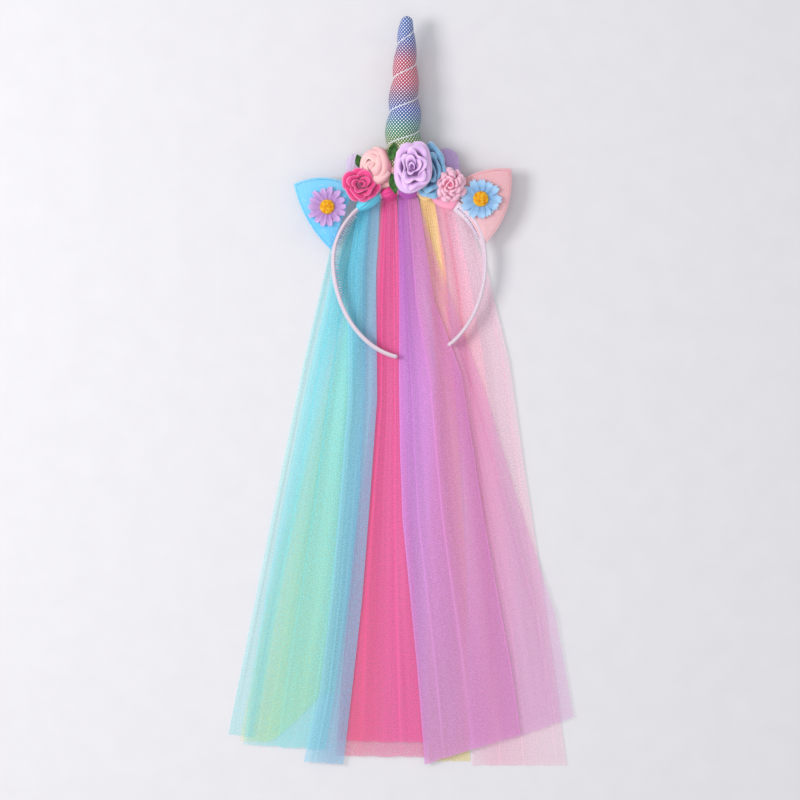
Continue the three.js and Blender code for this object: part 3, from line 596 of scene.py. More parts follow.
@dataclass
class Hoop:
    """The hoop's middle line and the ribbon-wrapped band that follows it."""

    centre: tuple[float, float] = (6.7, 119.4)
    half_width: float = 68.3
    crown_height: float = 63.2
    arm_drop: float = 87.4
    lean: float = math.radians(2)
    ends: tuple[float, float] = (-169.0, 152.0)
    crown_lift: float = 17.4
    end_lift: float = 11.6
    crown_width: float = 12.0
    end_width: float = 6.6
    thickness: float = 3.2
    ribbon: tuple[float, float] = (0.024, 0.42)
    end_round: float = 1.6
    least_end: float = 0.05
    squareness: float = 0.55
    twists: tuple[Row, ...] = (
        (-169, -12), (-100, -8), (-60, 2), (-30, 10), (0, 22), (26, 44),
        (46, 58), (64, 36), (82, 12), (110, 5), (152, 3),
    )  # fmt: skip
    teeth: tuple[Row, ...] = ((-111, -44), (43, 74))
    tooth_length: float = 3.6
    tooth_radius: float = 0.7
    tooth_taper: float = 0.45
    tooth_root: float = 0.3
    tooth_pitch: float = 2.4

    def point(self, angle: float) -> Vector:
        """Point of the middle line at an angle from the crown, in degrees.

        Args:
            angle: Degrees from the crown.

        Returns:
            The point, in millimetres of the drawing.
        """
        turn = math.radians(angle)
        reach = self.crown_height if math.cos(turn) > 0 else self.arm_drop
        x, y = self.half_width * math.sin(turn), reach * math.cos(turn)
        share = (y + self.arm_drop) / (self.crown_height + self.arm_drop)
        return Vector((*swung(self.centre, self.lean, x, y), mix(self.end_lift, self.crown_lift, share)))

    def axes(self, angle: float) -> tuple[Vector, Vector, Vector]:
        """Place and directions of the band at an angle.

        Args:
            angle: Degrees from the crown.

        Returns:
            The middle, the direction across the band and the direction out of its outer face.
        """
        ahead = self.point(angle + 0.5) - self.point(angle - 0.5)
        ahead.z = 0
        ahead.normalize()
        outside, up = Vector((-ahead.y, ahead.x, 0)), Vector((0, 0, 1))
        twist = math.radians(read(self.twists, angle))
        across = up * math.cos(twist) + outside * math.sin(twist)
        return self.point(angle), across, outside * math.cos(twist) - up * math.sin(twist)

    def band_half_width(self, angle: float) -> float:
        """Half the band's width at an angle."""
        return mix(self.crown_width, self.end_width, fade(abs(angle) / -self.ends[0], 0.1, 1)) / 2

    def wrapped(self, angle: float, turn: float, swell: float, square: float) -> Vector:
        """Point of a rounded sleeve round the band.

        Args:
            angle: Degrees from the crown.
            turn: Share of the way round the section.
            swell: How far it lies outside the band.
            square: Below 1 the section fills its corners.

        Returns:
            The point, in millimetres of the drawing.
        """
        middle, across, outward = self.axes(angle)
        theta = 2 * math.pi * turn
        wide = math.copysign(abs(math.cos(theta)) ** square, math.cos(theta))
        deep = math.copysign(abs(math.sin(theta)) ** square, math.sin(theta))
        width, depth = self.band_half_width(angle) + swell, self.thickness / 2 + swell
        return middle + across * (wide * width) + outward * (deep * depth)

    def build(self, bench: Workbench) -> None:
        """Make the wrapped band and its comb teeth.

        Args:
            bench: The workbench.
        """
        low, high = self.ends

        def spot(around: float, along: float) -> Vector:
            """Place a point of the wrapping, with rounded ends.

            Args:
                around: Share of the way round.
                along: Share of the way along.

            Returns:
                The point.
            """
            angle = mix(low, high, along)
            near = min(along, 1 - along) * (high - low)
            shrink = max(math.sqrt(1 - (1 - min(near / self.end_round, 1)) ** 2), self.least_end)
            middle = self.point(angle)
            return place(*(middle + (self.wrapped(angle, around, 0, self.squareness) - middle) * shrink))

        band = bench.skin(28, 420, spot, stretch(*self.ribbon), joined=True)
        satin = SatinFinish("satin_pink", tint(240, 220, 234), tint(212, 186, 212)).material()
        bench.piece("band_wrapped", band, satin, "satin_pink", ["band"])
        plastic = GrainFinish("comb_teeth", tint(248, 244, 250), tint(176, 186, 214), 300, 0.35, 0.0001)
        bench.piece("band_teeth", self.comb(), plastic.material(), "satin_pink")

    def comb(self) -> bmesh.types.BMesh:
        """Make the comb teeth on the inner face.

        Returns:
            The teeth.
        """
        bm = bmesh.new()
        for start, end in self.teeth:
            angle = start
            while angle < end:
                middle, _, outward = self.axes(angle)
                depth = self.thickness / 2 + self.tooth_length / 2 - self.tooth_root
                turn = (-outward).to_track_quat("Z", "Y").to_matrix().to_4x4()
                spot = Matrix.Translation(place(*(middle - outward * depth)))
                bmesh.ops.create_cone(
                    bm,
                    cap_ends=True,
                    segments=8,
                    radius1=self.tooth_radius * MM,
                    radius2=self.tooth_radius * self.tooth_taper * MM,
                    depth=self.tooth_length * MM,
                    matrix=spot @ turn,
                )
                angle += self.tooth_pitch / (self.point(angle + 1) - self.point(angle)).length
        for face in bm.faces:
            face.smooth = len(face.verts) == 4
        return bm


@dataclass
class Horn:
    """The stuffed horn with its spiral groove, and the cord in the groove."""

    length: float = 149.5
    radius: float = 17.0
    lean: float = math.radians(1.7)
    rise: float = math.radians(2)
    foot: tuple[float, float, float] = (0.4, 191.0, 17.3)
    groove_pitch: float = 30.0
    first_groove: float = 19.5
    groove_depth: float = 0.21
    groove_sharpness: float = 0.65
    tip_share: float = 0.018
    unevenness: float = 0.012
    dot_pitch: float = 0.0023
    profile: tuple[Row, ...] = (
        (0, 0.16), (0.02, 0.3), (0.075, 0.43), (0.25, 0.62), (0.43, 0.77), (0.61, 0.925), (0.72, 0.98), (1, 1),
    )  # fmt: skip
    cord_radius: float = 0.55
    cord_span: tuple[float, float] = (0.07, 0.86)

    def reach(self, along: float, round_: float) -> float:
        """Radius by the share of the length from the tip and the share of the way round from the groove."""
        bulge = abs(math.sin(math.pi * round_)) ** self.groove_sharpness
        return self.radius * read(self.profile, along) * (1 - self.groove_depth * (1 - bulge))

    def groove(self, along: float) -> float:
        """Angle of the groove round the horn at a share of its length."""
        return math.pi / 2 + 2 * math.pi * (along * self.length - self.first_groove) / self.groove_pitch

    def stand(self, x: float, y: float, z: float) -> Vector:
        """Move a point from the horn's own frame, tip along +Y, to its place."""
        turn = Matrix.Rotation(-self.lean, 3, "Z") @ Matrix.Rotation(self.rise, 3, "X")
        return place(*(turn @ Vector((x, y, z)) + Vector(self.foot)))

    def build(self, bench: Workbench) -> None:
        """Make the horn's skin and its cord.

        Args:
            bench: The workbench.
        """
        self.foot = (self.foot[0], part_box("horn")[0].y / MM - DRAWING.y, self.foot[2])

        def spot(around: float, along: float) -> Vector:
            """Place a point of the skin.

            Args:
                around: Share of the way round.
                along: Share of the way along.

            Returns:
                The point.
            """
            angle = 2 * math.pi * around - math.pi / 2
            turns = (angle - self.groove(along)) / (2 * math.pi)
            reach = self.reach(along, turns - math.floor(turns))
            tip = math.sqrt(1 - (1 - min(along / self.tip_share, 1)) ** 2)
            reach *= tip * (1 + self.unevenness * noise.noise(Vector((angle, along * 9, 1))))
            return self.stand(reach * math.cos(angle), self.length * (1 - along), reach * math.sin(angle))

        def chart(around: float, along: float) -> Vector:
            """Map the skin in metres, measured from the side that faces up."""
            reach = self.radius * read(self.profile, along) * MM
            return Vector(((around - 0.5) * 2 * math.pi * reach, along * self.length * MM))

        skin = bench.skin(96, 330, spot, chart, joined=True)
        rainbow = HornFinish(
            "horn_rainbow_mesh",
            (
                (0.0, tint(72, 120, 200)),
                (0.14, tint(70, 100, 190)),
                (0.2, tint(120, 70, 145)),
                (0.28, tint(205, 50, 95)),
                (0.4, tint(205, 55, 100)),
                (0.48, tint(120, 70, 130)),
                (0.56, tint(50, 90, 185)),
                (0.61, tint(40, 110, 170)),
                (0.66, tint(30, 140, 125)),
                (0.72, tint(60, 140, 70)),
                (0.78, tint(140, 150, 40)),
                (1.0, tint(150, 150, 60)),
            ),
            self.dot_pitch,
            self.length * MM,
        )
        bench.piece("horn_skin", skin, rainbow.material(), "horn_rainbow_mesh", ["horn"])
        silver = GrainFinish("silver_cord", tint(250, 250, 252), tint(205, 210, 225), 900, 0.35)
        bench.piece("horn_cord_wound", self.cord(bench), silver.material(), "silver_cord", ["horn_cord"])

    def cord(self, bench: Workbench) -> bmesh.types.BMesh:
        """Make the cord as a thin tube in the groove.

        Args:
            bench: The workbench.

        Returns:
            The tube.
        """

        def spot(around: float, share: float) -> Vector:
            """Place a point of the cord.

            Args:
                around: Share of the way round.
                share: Share of the way along.

            Returns:
                The point.
            """
            along = mix(*self.cord_span, share)
            angle, theta = self.groove(along), 2 * math.pi * around
            reach = self.reach(along, 0) + self.cord_radius * (0.9 + math.cos(theta))
            rise = self.length * (1 - along) + self.cord_radius * math.sin(theta)
            return self.stand(reach * math.cos(angle), rise, reach * math.sin(angle))

        return bench.skin(8, 420, spot, joined=True)


@dataclass
class Ear:
    """A padded felt ear with a row of stitches inside its edge."""

    name: str
    tip: tuple[float, float]
    upper: tuple[float, float]
    lower: tuple[float, float]
    swells: tuple[float, float]
    lift: float
    finish: FeltFinish
    thread: GrainFinish
    slot: str
    thickness: float = 5.2
    rim: float = 1.6
    stitches: int = 64
    stitch_inset: float = 0.93
    stitch_length: float = 0.8
    stitch_slimness: float = 0.3
    unevenness: float = 0.12

    def middle(self) -> Vector:
        """Middle of the three corners."""
        return sum((Vector(c) for c in (self.upper, self.tip, self.lower)), Vector((0, 0))) / 3

    def edge(self, share: float) -> Vector:
        """Point of the outline, from the upper corner over the tip and back along the base.

        Args:
            share: Share of the way along.

        Returns:
            The point, in millimetres of the drawing.
        """
        corners, middle = [Vector(c) for c in (self.upper, self.tip, self.lower)], self.middle()
        part, along = min(int(share * 3), 2), share * 3 - min(int(share * 3), 2)
        start, end = corners[part], corners[(part + 1) % 3]
        if part == 2:
            return start.lerp(end, along)
        side = (start + end) / 2
        ahead = (end - start).normalized()
        normal = Vector((-ahead.y, ahead.x))
        if normal.dot(side - middle) < 0:
            normal.negate()
        bend = side + normal * 2 * self.swells[part]
        return start * (1 - along) ** 2 + bend * 2 * along * (1 - along) + end * along**2

    def build(self, bench: Workbench) -> None:
        """Make the pad and its stitches.

        Args:
            bench: The workbench.
        """
        middle = self.middle()

        def spot(around: float, across: float) -> Vector:
            """Place a point of the pad: across runs from the front's middle over the rim to the back's.

            Args:
                around: Share of the way round.
                across: Share of the way across.

            Returns:
                The point.
            """
            share = math.sin(math.pi * min(across, 1 - across))
            flat = middle.lerp(self.edge(around % 1), share)
            side = 1 if across < 0.5 else -1
            edge_height = math.sqrt(max(0.0, 1 - share**8))
            height = mix(self.thickness / 2, self.rim / 2, share**3) * edge_height * side
            height += self.unevenness * noise.noise(Vector((flat.x * 0.12, flat.y * 0.12, side)))
            return place(flat.x, flat.y, self.lift + height)

        pad = bench.skin(132, 40, spot, joined=True)
        made = bench.piece(self.name + "_felt", pad, self.finish.material(), self.slot, [self.name])
        stitches = bmesh.new()
        inset = self.stitch_inset
        rise = mix(self.thickness / 2, self.rim / 2, inset**3) * math.sqrt(1 - inset**8)
        for index in range(self.stitches):
            share = (index + 0.5) / self.stitches * 2 / 3
            here, ahead = self.edge(share), self.edge(share + 0.004)
            flat = middle.lerp(here, inset)
            turn = math.atan2(ahead.y - here.y, ahead.x - here.x)
            stand = Matrix.Translation(place(flat.x, flat.y, self.lift + rise))
            shape = Matrix.Rotation(turn, 4, "Z") @ Matrix.Diagonal((1, self.stitch_slimness, self.stitch_slimness, 1))
            bmesh.ops.create_icosphere(stitches, subdivisions=1, radius=self.stitch_length * MM, matrix=stand @ shape)
        bench.piece(self.name + "_stitches", stitches, self.thread.material(), self.slot)


@dataclass
class Daisy:
    """A cloth daisy: two layers of creased, notched petals and a grainy heart."""

    name: str
    centre: tuple[float, float]
    reach: float
    heart: float
    petals: int
    notch: float
    finish: PetalFinish
    slot: str
    seed: int
    plump: float = 0.64
    wall: float = 0.35
    dome: float = 0.42
    grains: int = 150
    grain_sizes: tuple[float, float] = (0.4, 0.62)
    foot_reach: float = 3.0
    notch_width: float = 0.3
    crease_depth: float = 0.45
    crease_width: float = 0.35
    layers: tuple[Row, ...] = ((0.5, 0.86, 0.2), (0.0, 1.0, 1.2))
    stray: float = 0.14

    def petal(self, bench: Workbench, turn: float, reach: float, lift: float, cup: float) -> bmesh.types.BMesh:
        """Make one petal.

        Args:
            bench: The workbench.
            turn: Its direction in radians.
            reach: Distance of its tip from the middle.
            lift: Height of its foot.
            cup: How far its tip bends up.

        Returns:
            The petal.
        """
        half = math.pi * self.reach / self.petals * self.plump

        def spot(across: float, climb: float) -> Vector:
            """Place a point of the petal.

            Args:
                across: Share of the way across.
                climb: Share of the way from foot to rim.

            Returns:
                The point.
            """
            side = 2 * across - 1
            width = half * (0.35 + 0.65 * math.sin(math.pi * min(climb * 0.62, 0.5))) * math.sqrt(1 - 0.55 * climb**6)
            tip = reach * (1 - (1 - self.notch) * math.exp(-((side / self.notch_width) ** 2)) - 0.1 * side**4)
            out = mix(self.foot_reach, tip, climb)
            crease = math.exp(-((side / self.crease_width) ** 2)) * math.sin(math.pi * min(climb * 1.05, 1))
            rise = lift + cup * climb**2 + 0.5 * abs(side) * climb - self.crease_depth * crease
            return turned(self.centre, turn, out, side * width, rise)

        return bench.skin(8, 12, spot)

    def build(self, bench: Workbench) -> None:
        """Make the petals and the heart over the CAD ones.

        Args:
            bench: The workbench.
        """
        chance = random.Random(self.seed)
        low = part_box(self.name + "_petals")[0].z / MM
        parts = []
        for layer, (turn, reach, lift) in enumerate(self.layers):
            for index in range(self.petals):
                angle = 2 * math.pi * (index + turn + chance.uniform(-self.stray, self.stray)) / self.petals
                long = self.reach * reach * chance.uniform(0.88, 1.0)
                parts.append(self.petal(bench, angle, long, low + lift, 0.5 + 0.6 * layer * chance.random()))
        name, cloth = self.name + "_cloth_petals", self.finish.material()
        bench.piece(name, bench.join(parts), cloth, self.slot, [self.name + "_petals"], wall=self.wall * MM)
        heart_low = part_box(self.name + "_heart")[0].z / MM
        grains = bmesh.new()
        radius = self.heart - 0.5
        dome = Matrix.Translation(place(*self.centre, heart_low)) @ Matrix.Diagonal((1, 1, self.dome, 1))
        bmesh.ops.create_uvsphere(grains, u_segments=24, v_segments=12, radius=radius * MM, matrix=dome)
        for index in range(self.grains):
            share = math.sqrt((index + 0.5) / self.grains)
            rise = heart_low + radius * self.dome * math.sqrt(max(0.0, 1 - share**2))
            spot = turned(self.centre, index * GOLDEN_TURN, radius * share, 0, rise)
            size = chance.uniform(*self.grain_sizes) * MM
            bmesh.ops.create_icosphere(grains, subdivisions=1, radius=size, matrix=Matrix.Translation(spot))
        bench.smooth(grains)
        flock = GrainFinish(self.name + "_heart_flock", tint(226, 140, 10), tint(252, 212, 60), 420, 0.85, 0.0003)
        bench.piece(self.name + "_heart_grains", grains, flock.material(), "heart_yellow", [self.name + "_heart"])


@dataclass(frozen=True)
class Whorl:
    """One ring of petals, as shares of the flower's half sizes and height."""

    petals: int
    foot: float
    foot_rise: float
    rim: float
    rim_rise: float
    spread: float
    turn: float
    roll: float = 0.1
    ruffle: float = 0.05
    waves: float = 2.0
    swirl: float = 0.06
    belly: float = 0.0


@dataclass
class Flower:
    """A cloth flower of several rings of petals round a core in the throat's painted shade."""

    name: str
    centre: tuple[float, float, float]
    halves: tuple[float, float]
    height: float
    turn: float
    whorls: tuple[Whorl, ...]
    finish: PetalFinish
    slot: str
    seed: int
    tilt: tuple[float, float] = (0.0, 0.0)
    wall: float = 0.45
    core: float = 0.5
    stray: float = 0.08
    sizes: tuple[float, float] = (0.93, 1.0)
    curl_from: float = 0.72
    alternate: float = 0.05

    def petal(self, bench: Workbench, whorl: Whorl, index: int, chance: random.Random) -> bmesh.types.BMesh:
        """Make one cupped, rolled and ruffled petal.

        Args:
            bench: The workbench.
            whorl: Its ring.
            index: Its number in the ring.
            chance: Where its small differences come from.

        Returns:
            The petal.
        """
        step = 2 * math.pi / whorl.petals
        middle = step * (index + whorl.turn + chance.uniform(-self.stray, self.stray)) + math.radians(self.turn)
        spread = step * whorl.spread * chance.uniform(1 - self.stray, 1 + self.stray)
        phase, size = chance.uniform(0, 6.28), chance.uniform(*self.sizes)
        lean = (index % 2) * self.alternate
        tip, roll_over = (math.radians(angle) for angle in self.tilt)
        tilt = Matrix.Rotation(tip, 3, "X") @ Matrix.Rotation(roll_over, 3, "Y")
        heart = Vector(self.centre) + Vector((0, 0, self.height / 2))

        def spot(across: float, climb: float) -> Vector:
            """Place a point of the petal.

            Args:
                across: Share of the way across.
                climb: Share of the way from foot to rim.

            Returns:
                The point.
            """
            side = 2 * across - 1
            angle = middle + side * spread * mix(0.7, 1, math.sqrt(climb))
            roll = fade(climb, self.curl_from, 1.0)
            climb *= 1 - 0.3 * side**4
            reach = mix(whorl.foot, whorl.rim * size - lean, climb**1.4) + whorl.roll * 0.5 * roll
            reach += whorl.swirl * side * climb + whorl.belly * math.sin(math.pi * climb)
            wave = math.sin(whorl.waves * math.pi * side + phase) * climb**2
            rise = mix(whorl.foot_rise, whorl.rim_rise * size, math.sin(climb * math.pi / 2))
            rise -= whorl.roll * roll**2 * 1.1 + 0.16 * climb * side**2
            reach += whorl.ruffle * wave
            rise += whorl.ruffle * 0.6 * math.sin(whorl.waves * 1.7 * math.pi * side + phase * 2) * climb**2
            wide, deep = (half * reach for half in self.halves)
            local = Vector((wide * math.cos(angle), deep * math.sin(angle), self.height * (rise - 0.5)))
            return place(*(tilt @ local + heart))

        return bench.skin(18, 14, spot)

    def build(self, bench: Workbench) -> None:
        """Make the flower over its CAD node.

        Args:
            bench: The workbench.
        """
        chance = random.Random(self.seed)
        parts = [self.petal(bench, whorl, index, chance) for whorl in self.whorls for index in range(whorl.petals)]
        core = bmesh.new()
        middle = Matrix.Translation(place(self.centre[0], self.centre[1], self.centre[2] + self.height * 0.4))
        shape = Matrix.Diagonal((self.halves[0] * self.core, self.halves[1] * self.core, self.height * 0.36, 1))
        bmesh.ops.create_uvsphere(core, u_segments=20, v_segments=12, radius=MM, matrix=middle @ shape)
        # The core sits at the foot of the petals' map, so it takes the throat's dark colour: a ball of painted shade in
        # the flower's middle.
        layer = core.loops.layers.uv.new("cloth")
        bench.smooth(core)
        for face in core.faces:
            for loop in face.loops:
                loop[layer].uv = (0.5, 0.0)
        whole, cloth = bench.join([*parts, core]), self.finish.material()
        bench.piece(self.name + "_petals", whole, cloth, self.slot, [self.name], wall=self.wall * MM)


@dataclass
class Leaf:
    """A small cloth leaf with a middle rib."""

    name: str
    centre: tuple[float, float]
    halves: tuple[float, float]
    turn: float
    rib_depth: float = 0.35
    rib_width: float = 0.2
    cup: float = 0.3
    wall: float = 0.5

    def build(self, bench: Workbench) -> None:
        """Make the leaf over its CAD node.

        Args:
            bench: The workbench.
        """
        low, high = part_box(self.name)
        level = (low.z + high.z) / 2 / MM
        turn = math.radians(self.turn)

        def spot(across: float, along: float) -> Vector:
            """Place a point of the leaf.

            Args:
                across: Share of the way across.
                along: Share of the way along.

            Returns:
                The point.
            """
            side, up = 2 * across - 1, 2 * along - 1
            width = self.halves[0] * (1 - abs(up) ** 1.8) * side
            rib = 0.25 * math.cos(9 * up + 4 * abs(side)) * abs(side)
            rib -= self.rib_depth * math.exp(-((side / self.rib_width) ** 2))
            rise = level + 0.35 * rib + self.cup * side**2
            return turned(self.centre, turn, width, self.halves[1] * up, rise)

        green = GrainFinish(self.name + "_green", tint(34, 76, 30), tint(74, 122, 56), 260, 0.7)
        leaf = bench.skin(12, 20, spot)
        bench.piece(self.name + "_cloth", leaf, green.material(), "leaf_green", [self.name], wall=self.wall * MM)


@dataclass
class Puff:
    """A short loop of net behind the flowers, folded over at its outer end."""

    name: str
    centre: tuple[float, float]
    halves: tuple[float, float]
    turn: float
    finish: NetFinish
    slot: str
    root_reach: float = 0.95
    root_height: float = 20.0
    crinkle: float = 0.22

    def build(self, bench: Workbench) -> None:
        """Make the loop over its CAD node, as one sheet whose foot rises under the flowers.

        Args:
            bench: The workbench.
        """
        low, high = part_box(self.name)
        level, rise = (low.z + high.z) / 2 / MM, (high.z - low.z) / 2 / MM
        turn = math.radians(self.turn)

        def spot(across: float, along: float) -> Vector:
            """Place a point: along runs out over the top and back underneath.

            Args:
                across: Share of the way across.
                along: Share of the way along.

            Returns:
                The point.
            """
            side = 2 * across - 1
            out = math.sin(math.pi * along)
            root = (1 - out) ** 2
            width = self.halves[0] * side * (0.4 + 0.6 * math.sqrt(out))
            reach = self.halves[1] * (out * (1 + math.sqrt(max(0.0, 1 - side**2))) - 1)
            crinkle = self.crinkle * math.sin(11 * side + 2 * along)
            reach -= self.halves[1] * self.root_reach * root
            height = rise * 0.7 * math.cos(math.pi * along) * (1 - 0.5 * side**2) + crinkle
            height = mix(height, self.root_height - level, root)
            return turned(self.centre, turn, width, reach, level + height)

        loop = bench.skin(40, 36, spot, stretch(0.03, 0.05))
        bench.layers(loop, 1.0)
        area = sum(face.calc_area() for face in loop.faces)
        made = bench.piece(self.name + "_net", loop, self.finish.material(), self.slot, [self.name])


@dataclass(frozen=True)
class Pleat:
    """A fold that doubles a strip back over itself: its place and width as shares of the strip, its height in mm."""

    at: float
    width: float
    depth: float = 2.0
    height: float = 0.8

    def offset(self, across: float) -> tuple[float, float, float]:
        """How the fold moves the cloth.

        Args:
            across: Share of the cloth's width.

        Returns:
            The sideways shift, its slope and the rise.
        """
        t = (across - self.at) / self.width
        bell = math.exp(-t * t)
        return -self.depth * self.width * t * bell, -self.depth * (1 - 2 * t * t) * bell, self.height * t * bell * 2.3


@dataclass
class Strip:
    """One strip of net, from its place on the hoop down to its hem."""

    name: str
    arc: tuple[float, float]
    layer: float
    knotted: bool
    hems: tuple[float, float]
    edges: tuple[Row, ...]
    pleats: tuple[Pleat, ...]
    finish: NetFinish
    slot: str
    densities: tuple[Row, ...] = ((0, 1), (1, 1))
    corner: float = 0.0
    rims: tuple[float, float] = (0.45, 0.45)


@dataclass
class Veil:
    """The nine strips of net and their knots."""

    hoop: Hoop
    strips: Sequence[Strip]
    length: float = 509.4
    half_spread: float = 158.5
    top_y: float = 174.6
    cloth: float = 1.0
    layer_pitch: float = 2.3
    lift_at_knots: float = 4.0
    lift_ends: float = 0.15
    tail_inset: float = 3.0
    climb: float = 11.0
    fold_apex: float = 324.0
    fold_spacing: float = 0.05
    fold_rise: float = 1.5
    knot_padding: float = 3.4
    knot_layers: float = 1.7
    knot_folds: tuple[float, float] = (6, 11)
    columns: int = 84
    rows: int = 170
    rim_width: float = 0.012
    hem_waver: float = 0.0022
    crinkle: float = 0.22
    seed: int = 7
    made: dict[str, bpy.types.Object] = field(default_factory=dict)

    def fold(self, x: float, fall: float, along: float) -> float:
        """Height of the soft folds that all the layers share.

        Args:
            x: Place across, in millimetres.
            fall: Share of the veil's length below its top.
            along: Share of the way along.

        Returns:
            The height in millimetres.
        """
        turn = (x - 3.2) / (self.fold_apex + fall * self.length) / self.fold_spacing
        rise = mix(1.0, self.fold_rise, fade(fall, 0, 0.2)) * (1 - fade(along, 0.79, 0.93))
        return rise * (1 + math.cos(2 * math.pi * turn)) / 2

    def drop(self, angle: float) -> float:
        """How far a knot's lower wall lies below the hoop's middle line.

        Args:
            angle: Degrees from the crown.

        Returns:
            The depth in millimetres.
        """
        twist = math.radians(read(self.hoop.twists, angle))

        def wall(extra: float) -> float:
            """Depth of a wall that lies outside the band.

            Args:
                extra: How far the wall lies outside the band.

            Returns:
                The depth in millimetres.
            """
            flat = (self.hoop.band_half_width(angle) + extra) / math.cos(twist)
            steep = (self.hoop.thickness / 2 + extra) / max(abs(math.sin(twist)), 1e-6)
            return min(flat, steep)

        return (wall(0.3) + wall(self.knot_padding)) / 2

    def side(self, strip: Strip, angle: float, column: int) -> list[Row]:
        """One edge of a strip, as falls and places across.

        Args:
            strip: The strip.
            angle: Where it leaves the hoop.
            column: 1 for the left edge, 2 for the right.

        Returns:
            Rows of fall and x, in millimetres of the drawing.
        """
        start = self.hoop.point(angle)
        inset = 0 if strip.knotted else self.tail_inset
        fall = (self.top_y - start.y + inset) / self.length
        below = [(row[0], row[column] * self.half_spread) for row in strip.edges if row[0] > fall]
        return [(fall, start.x), *below]

    def build(self, bench: Workbench) -> None:
        """Make every strip and knot.

        Args:
            bench: The workbench.
        """
        for strip in self.strips:
            self.hang(bench, strip)
        for strip in self.strips:
            pieces = [self.knot(bench, strip)] if strip.knotted else []

    def hang(self, bench: Workbench, strip: Strip) -> None:
        """Make one strip as a pleated sheet.

        Args:
            bench: The workbench.
            strip: The strip.
        """
        left, right = self.side(strip, strip.arc[0], 1), self.side(strip, strip.arc[1], 2)
        shift = Vector((strip.layer * 3.1, self.seed, 0))

        def pleated(across: float, along: float) -> tuple[float, float, float]:
            """Place across, density and rise of a point after the pleats.

            Args:
                across: Share of the way across.
                along: Share of the way along.

            Returns:
                The place across, the density and the rise.
            """
            spread, slope, rise = across, 1.0, 0.0
            for pleat in strip.pleats:
                ease = mix(1.0, 0.45, along)
                moved, bent, raised = pleat.offset(across)
                spread, slope, rise = spread + moved * ease, slope + bent * ease, rise + raised
            return spread, 1 + 0.28 * math.exp(-slope * slope / 0.12), rise

        def spot(across: float, along: float) -> Vector:
            """Place a point of the strip.

            Args:
                across: Share of the way across.
                along: Share of the way along.

            Returns:
                The point.
            """
            share, _, rise = pleated(across, along)
            low = mix(left[0][0], strip.hems[0], along)
            high = mix(right[0][0], strip.hems[1], along)
            end = 1 - strip.corner * fade(share, 0.25, 1.0) * along
            x_left, x_right = read(left, low * end), read(right, high * end)
            fall = mix(low, high, share) * end
            fall += self.hem_waver * noise.noise(Vector((share * 9, strip.layer, 3))) * along**6
            x = mix(x_left, x_right, share)
            wander = noise.noise(Vector((share * 14, along * 2.2, 0)) + shift)
            calm = 1 - fade(along, 0.85, 1.0) * 0.7
            z = strip.layer * self.layer_pitch + self.lift_at_knots * (1 - fade(fall, 0, self.lift_ends))
            z += self.fold(x, fall, along) + self.cloth / 2 + (rise * 0.75 + self.crinkle * wander) * calm
            if strip.knotted:
                angle = mix(*strip.arc, min(max(share, 0), 1))
                held = self.hoop.point(angle).z - self.drop(angle)
                z = mix(held, z, fade(along * self.length, 0, self.climb))
            return place(x, self.top_y - fall * self.length, max(z, 0.25))

        def chart(across: float, along: float) -> Vector:
            """Map the cloth in metres, as it lies, so that the net's holes stay round.

            Args:
                across: Share of the way across.
                along: Share of the way along.

            Returns:
                The place on the map.
            """
            fall_left = mix(left[0][0], strip.hems[0], along)
            fall_right = mix(right[0][0], strip.hems[1], along)
            return Vector((mix(read(left, fall_left), read(right, fall_right), across) * MM, along * self.length * MM))

        sheet = bench.skin(self.columns, self.rows, spot, chart)
        sheet.verts.ensure_lookup_table()
        density = sheet.verts.layers.float.new("layers")
        place_across = sheet.verts.layers.float.new("across")
        for number, vert in enumerate(sheet.verts):
            row, column = divmod(number, self.columns + 1)
            across, along = column / self.columns, row / self.rows
            _, thick, _ = pleated(across, along)
            rim = strip.rims[0] * math.exp(-((across / self.rim_width) ** 2))
            rim += strip.rims[1] * math.exp(-(((1 - across) / self.rim_width) ** 2))
            vert[density] = (thick + rim) * read(strip.densities, across)
            vert[place_across] = across
        made = bench.piece(strip.name + "_net", sheet, strip.finish.material(), strip.slot, [strip.name])
        self.made[strip.name] = made

    def knot(self, bench: Workbench, strip: Strip) -> bpy.types.Object:
        """Make the knot of a strip round the band.

        Args:
            bench: The workbench.
            strip: The strip.

        Returns:
            The knot.
        """

        def spot(around: float, share: float) -> Vector:
            """Place a point of the knot, with folds that run along the band.

            Args:
                around: Share of the way round.
                share: Share of the way along.

            Returns:
                The point.
            """
            angle = mix(*strip.arc, share)
            full = math.sin(math.pi * share)
            swell = self.knot_padding * mix(0.1, 1.15, full**0.55)
            coarse, fine = (2 * math.pi * folds * around for folds in self.knot_folds)
            ridge = math.sin(coarse + 2.2 * share + strip.layer) + 0.5 * math.sin(fine - 3 * share)
            swell += 0.5 * ridge * full
            return place(*self.hoop.wrapped(angle, around, swell, 0.85))

        knot = bench.skin(112, 30, spot, stretch(0.05, 0.03), joined=True)
        bench.layers(knot, self.knot_layers)
        material = self.made[strip.name].data.materials[0]
        return bench.piece(strip.name + "_knot", knot, material, strip.slot, [strip.name])


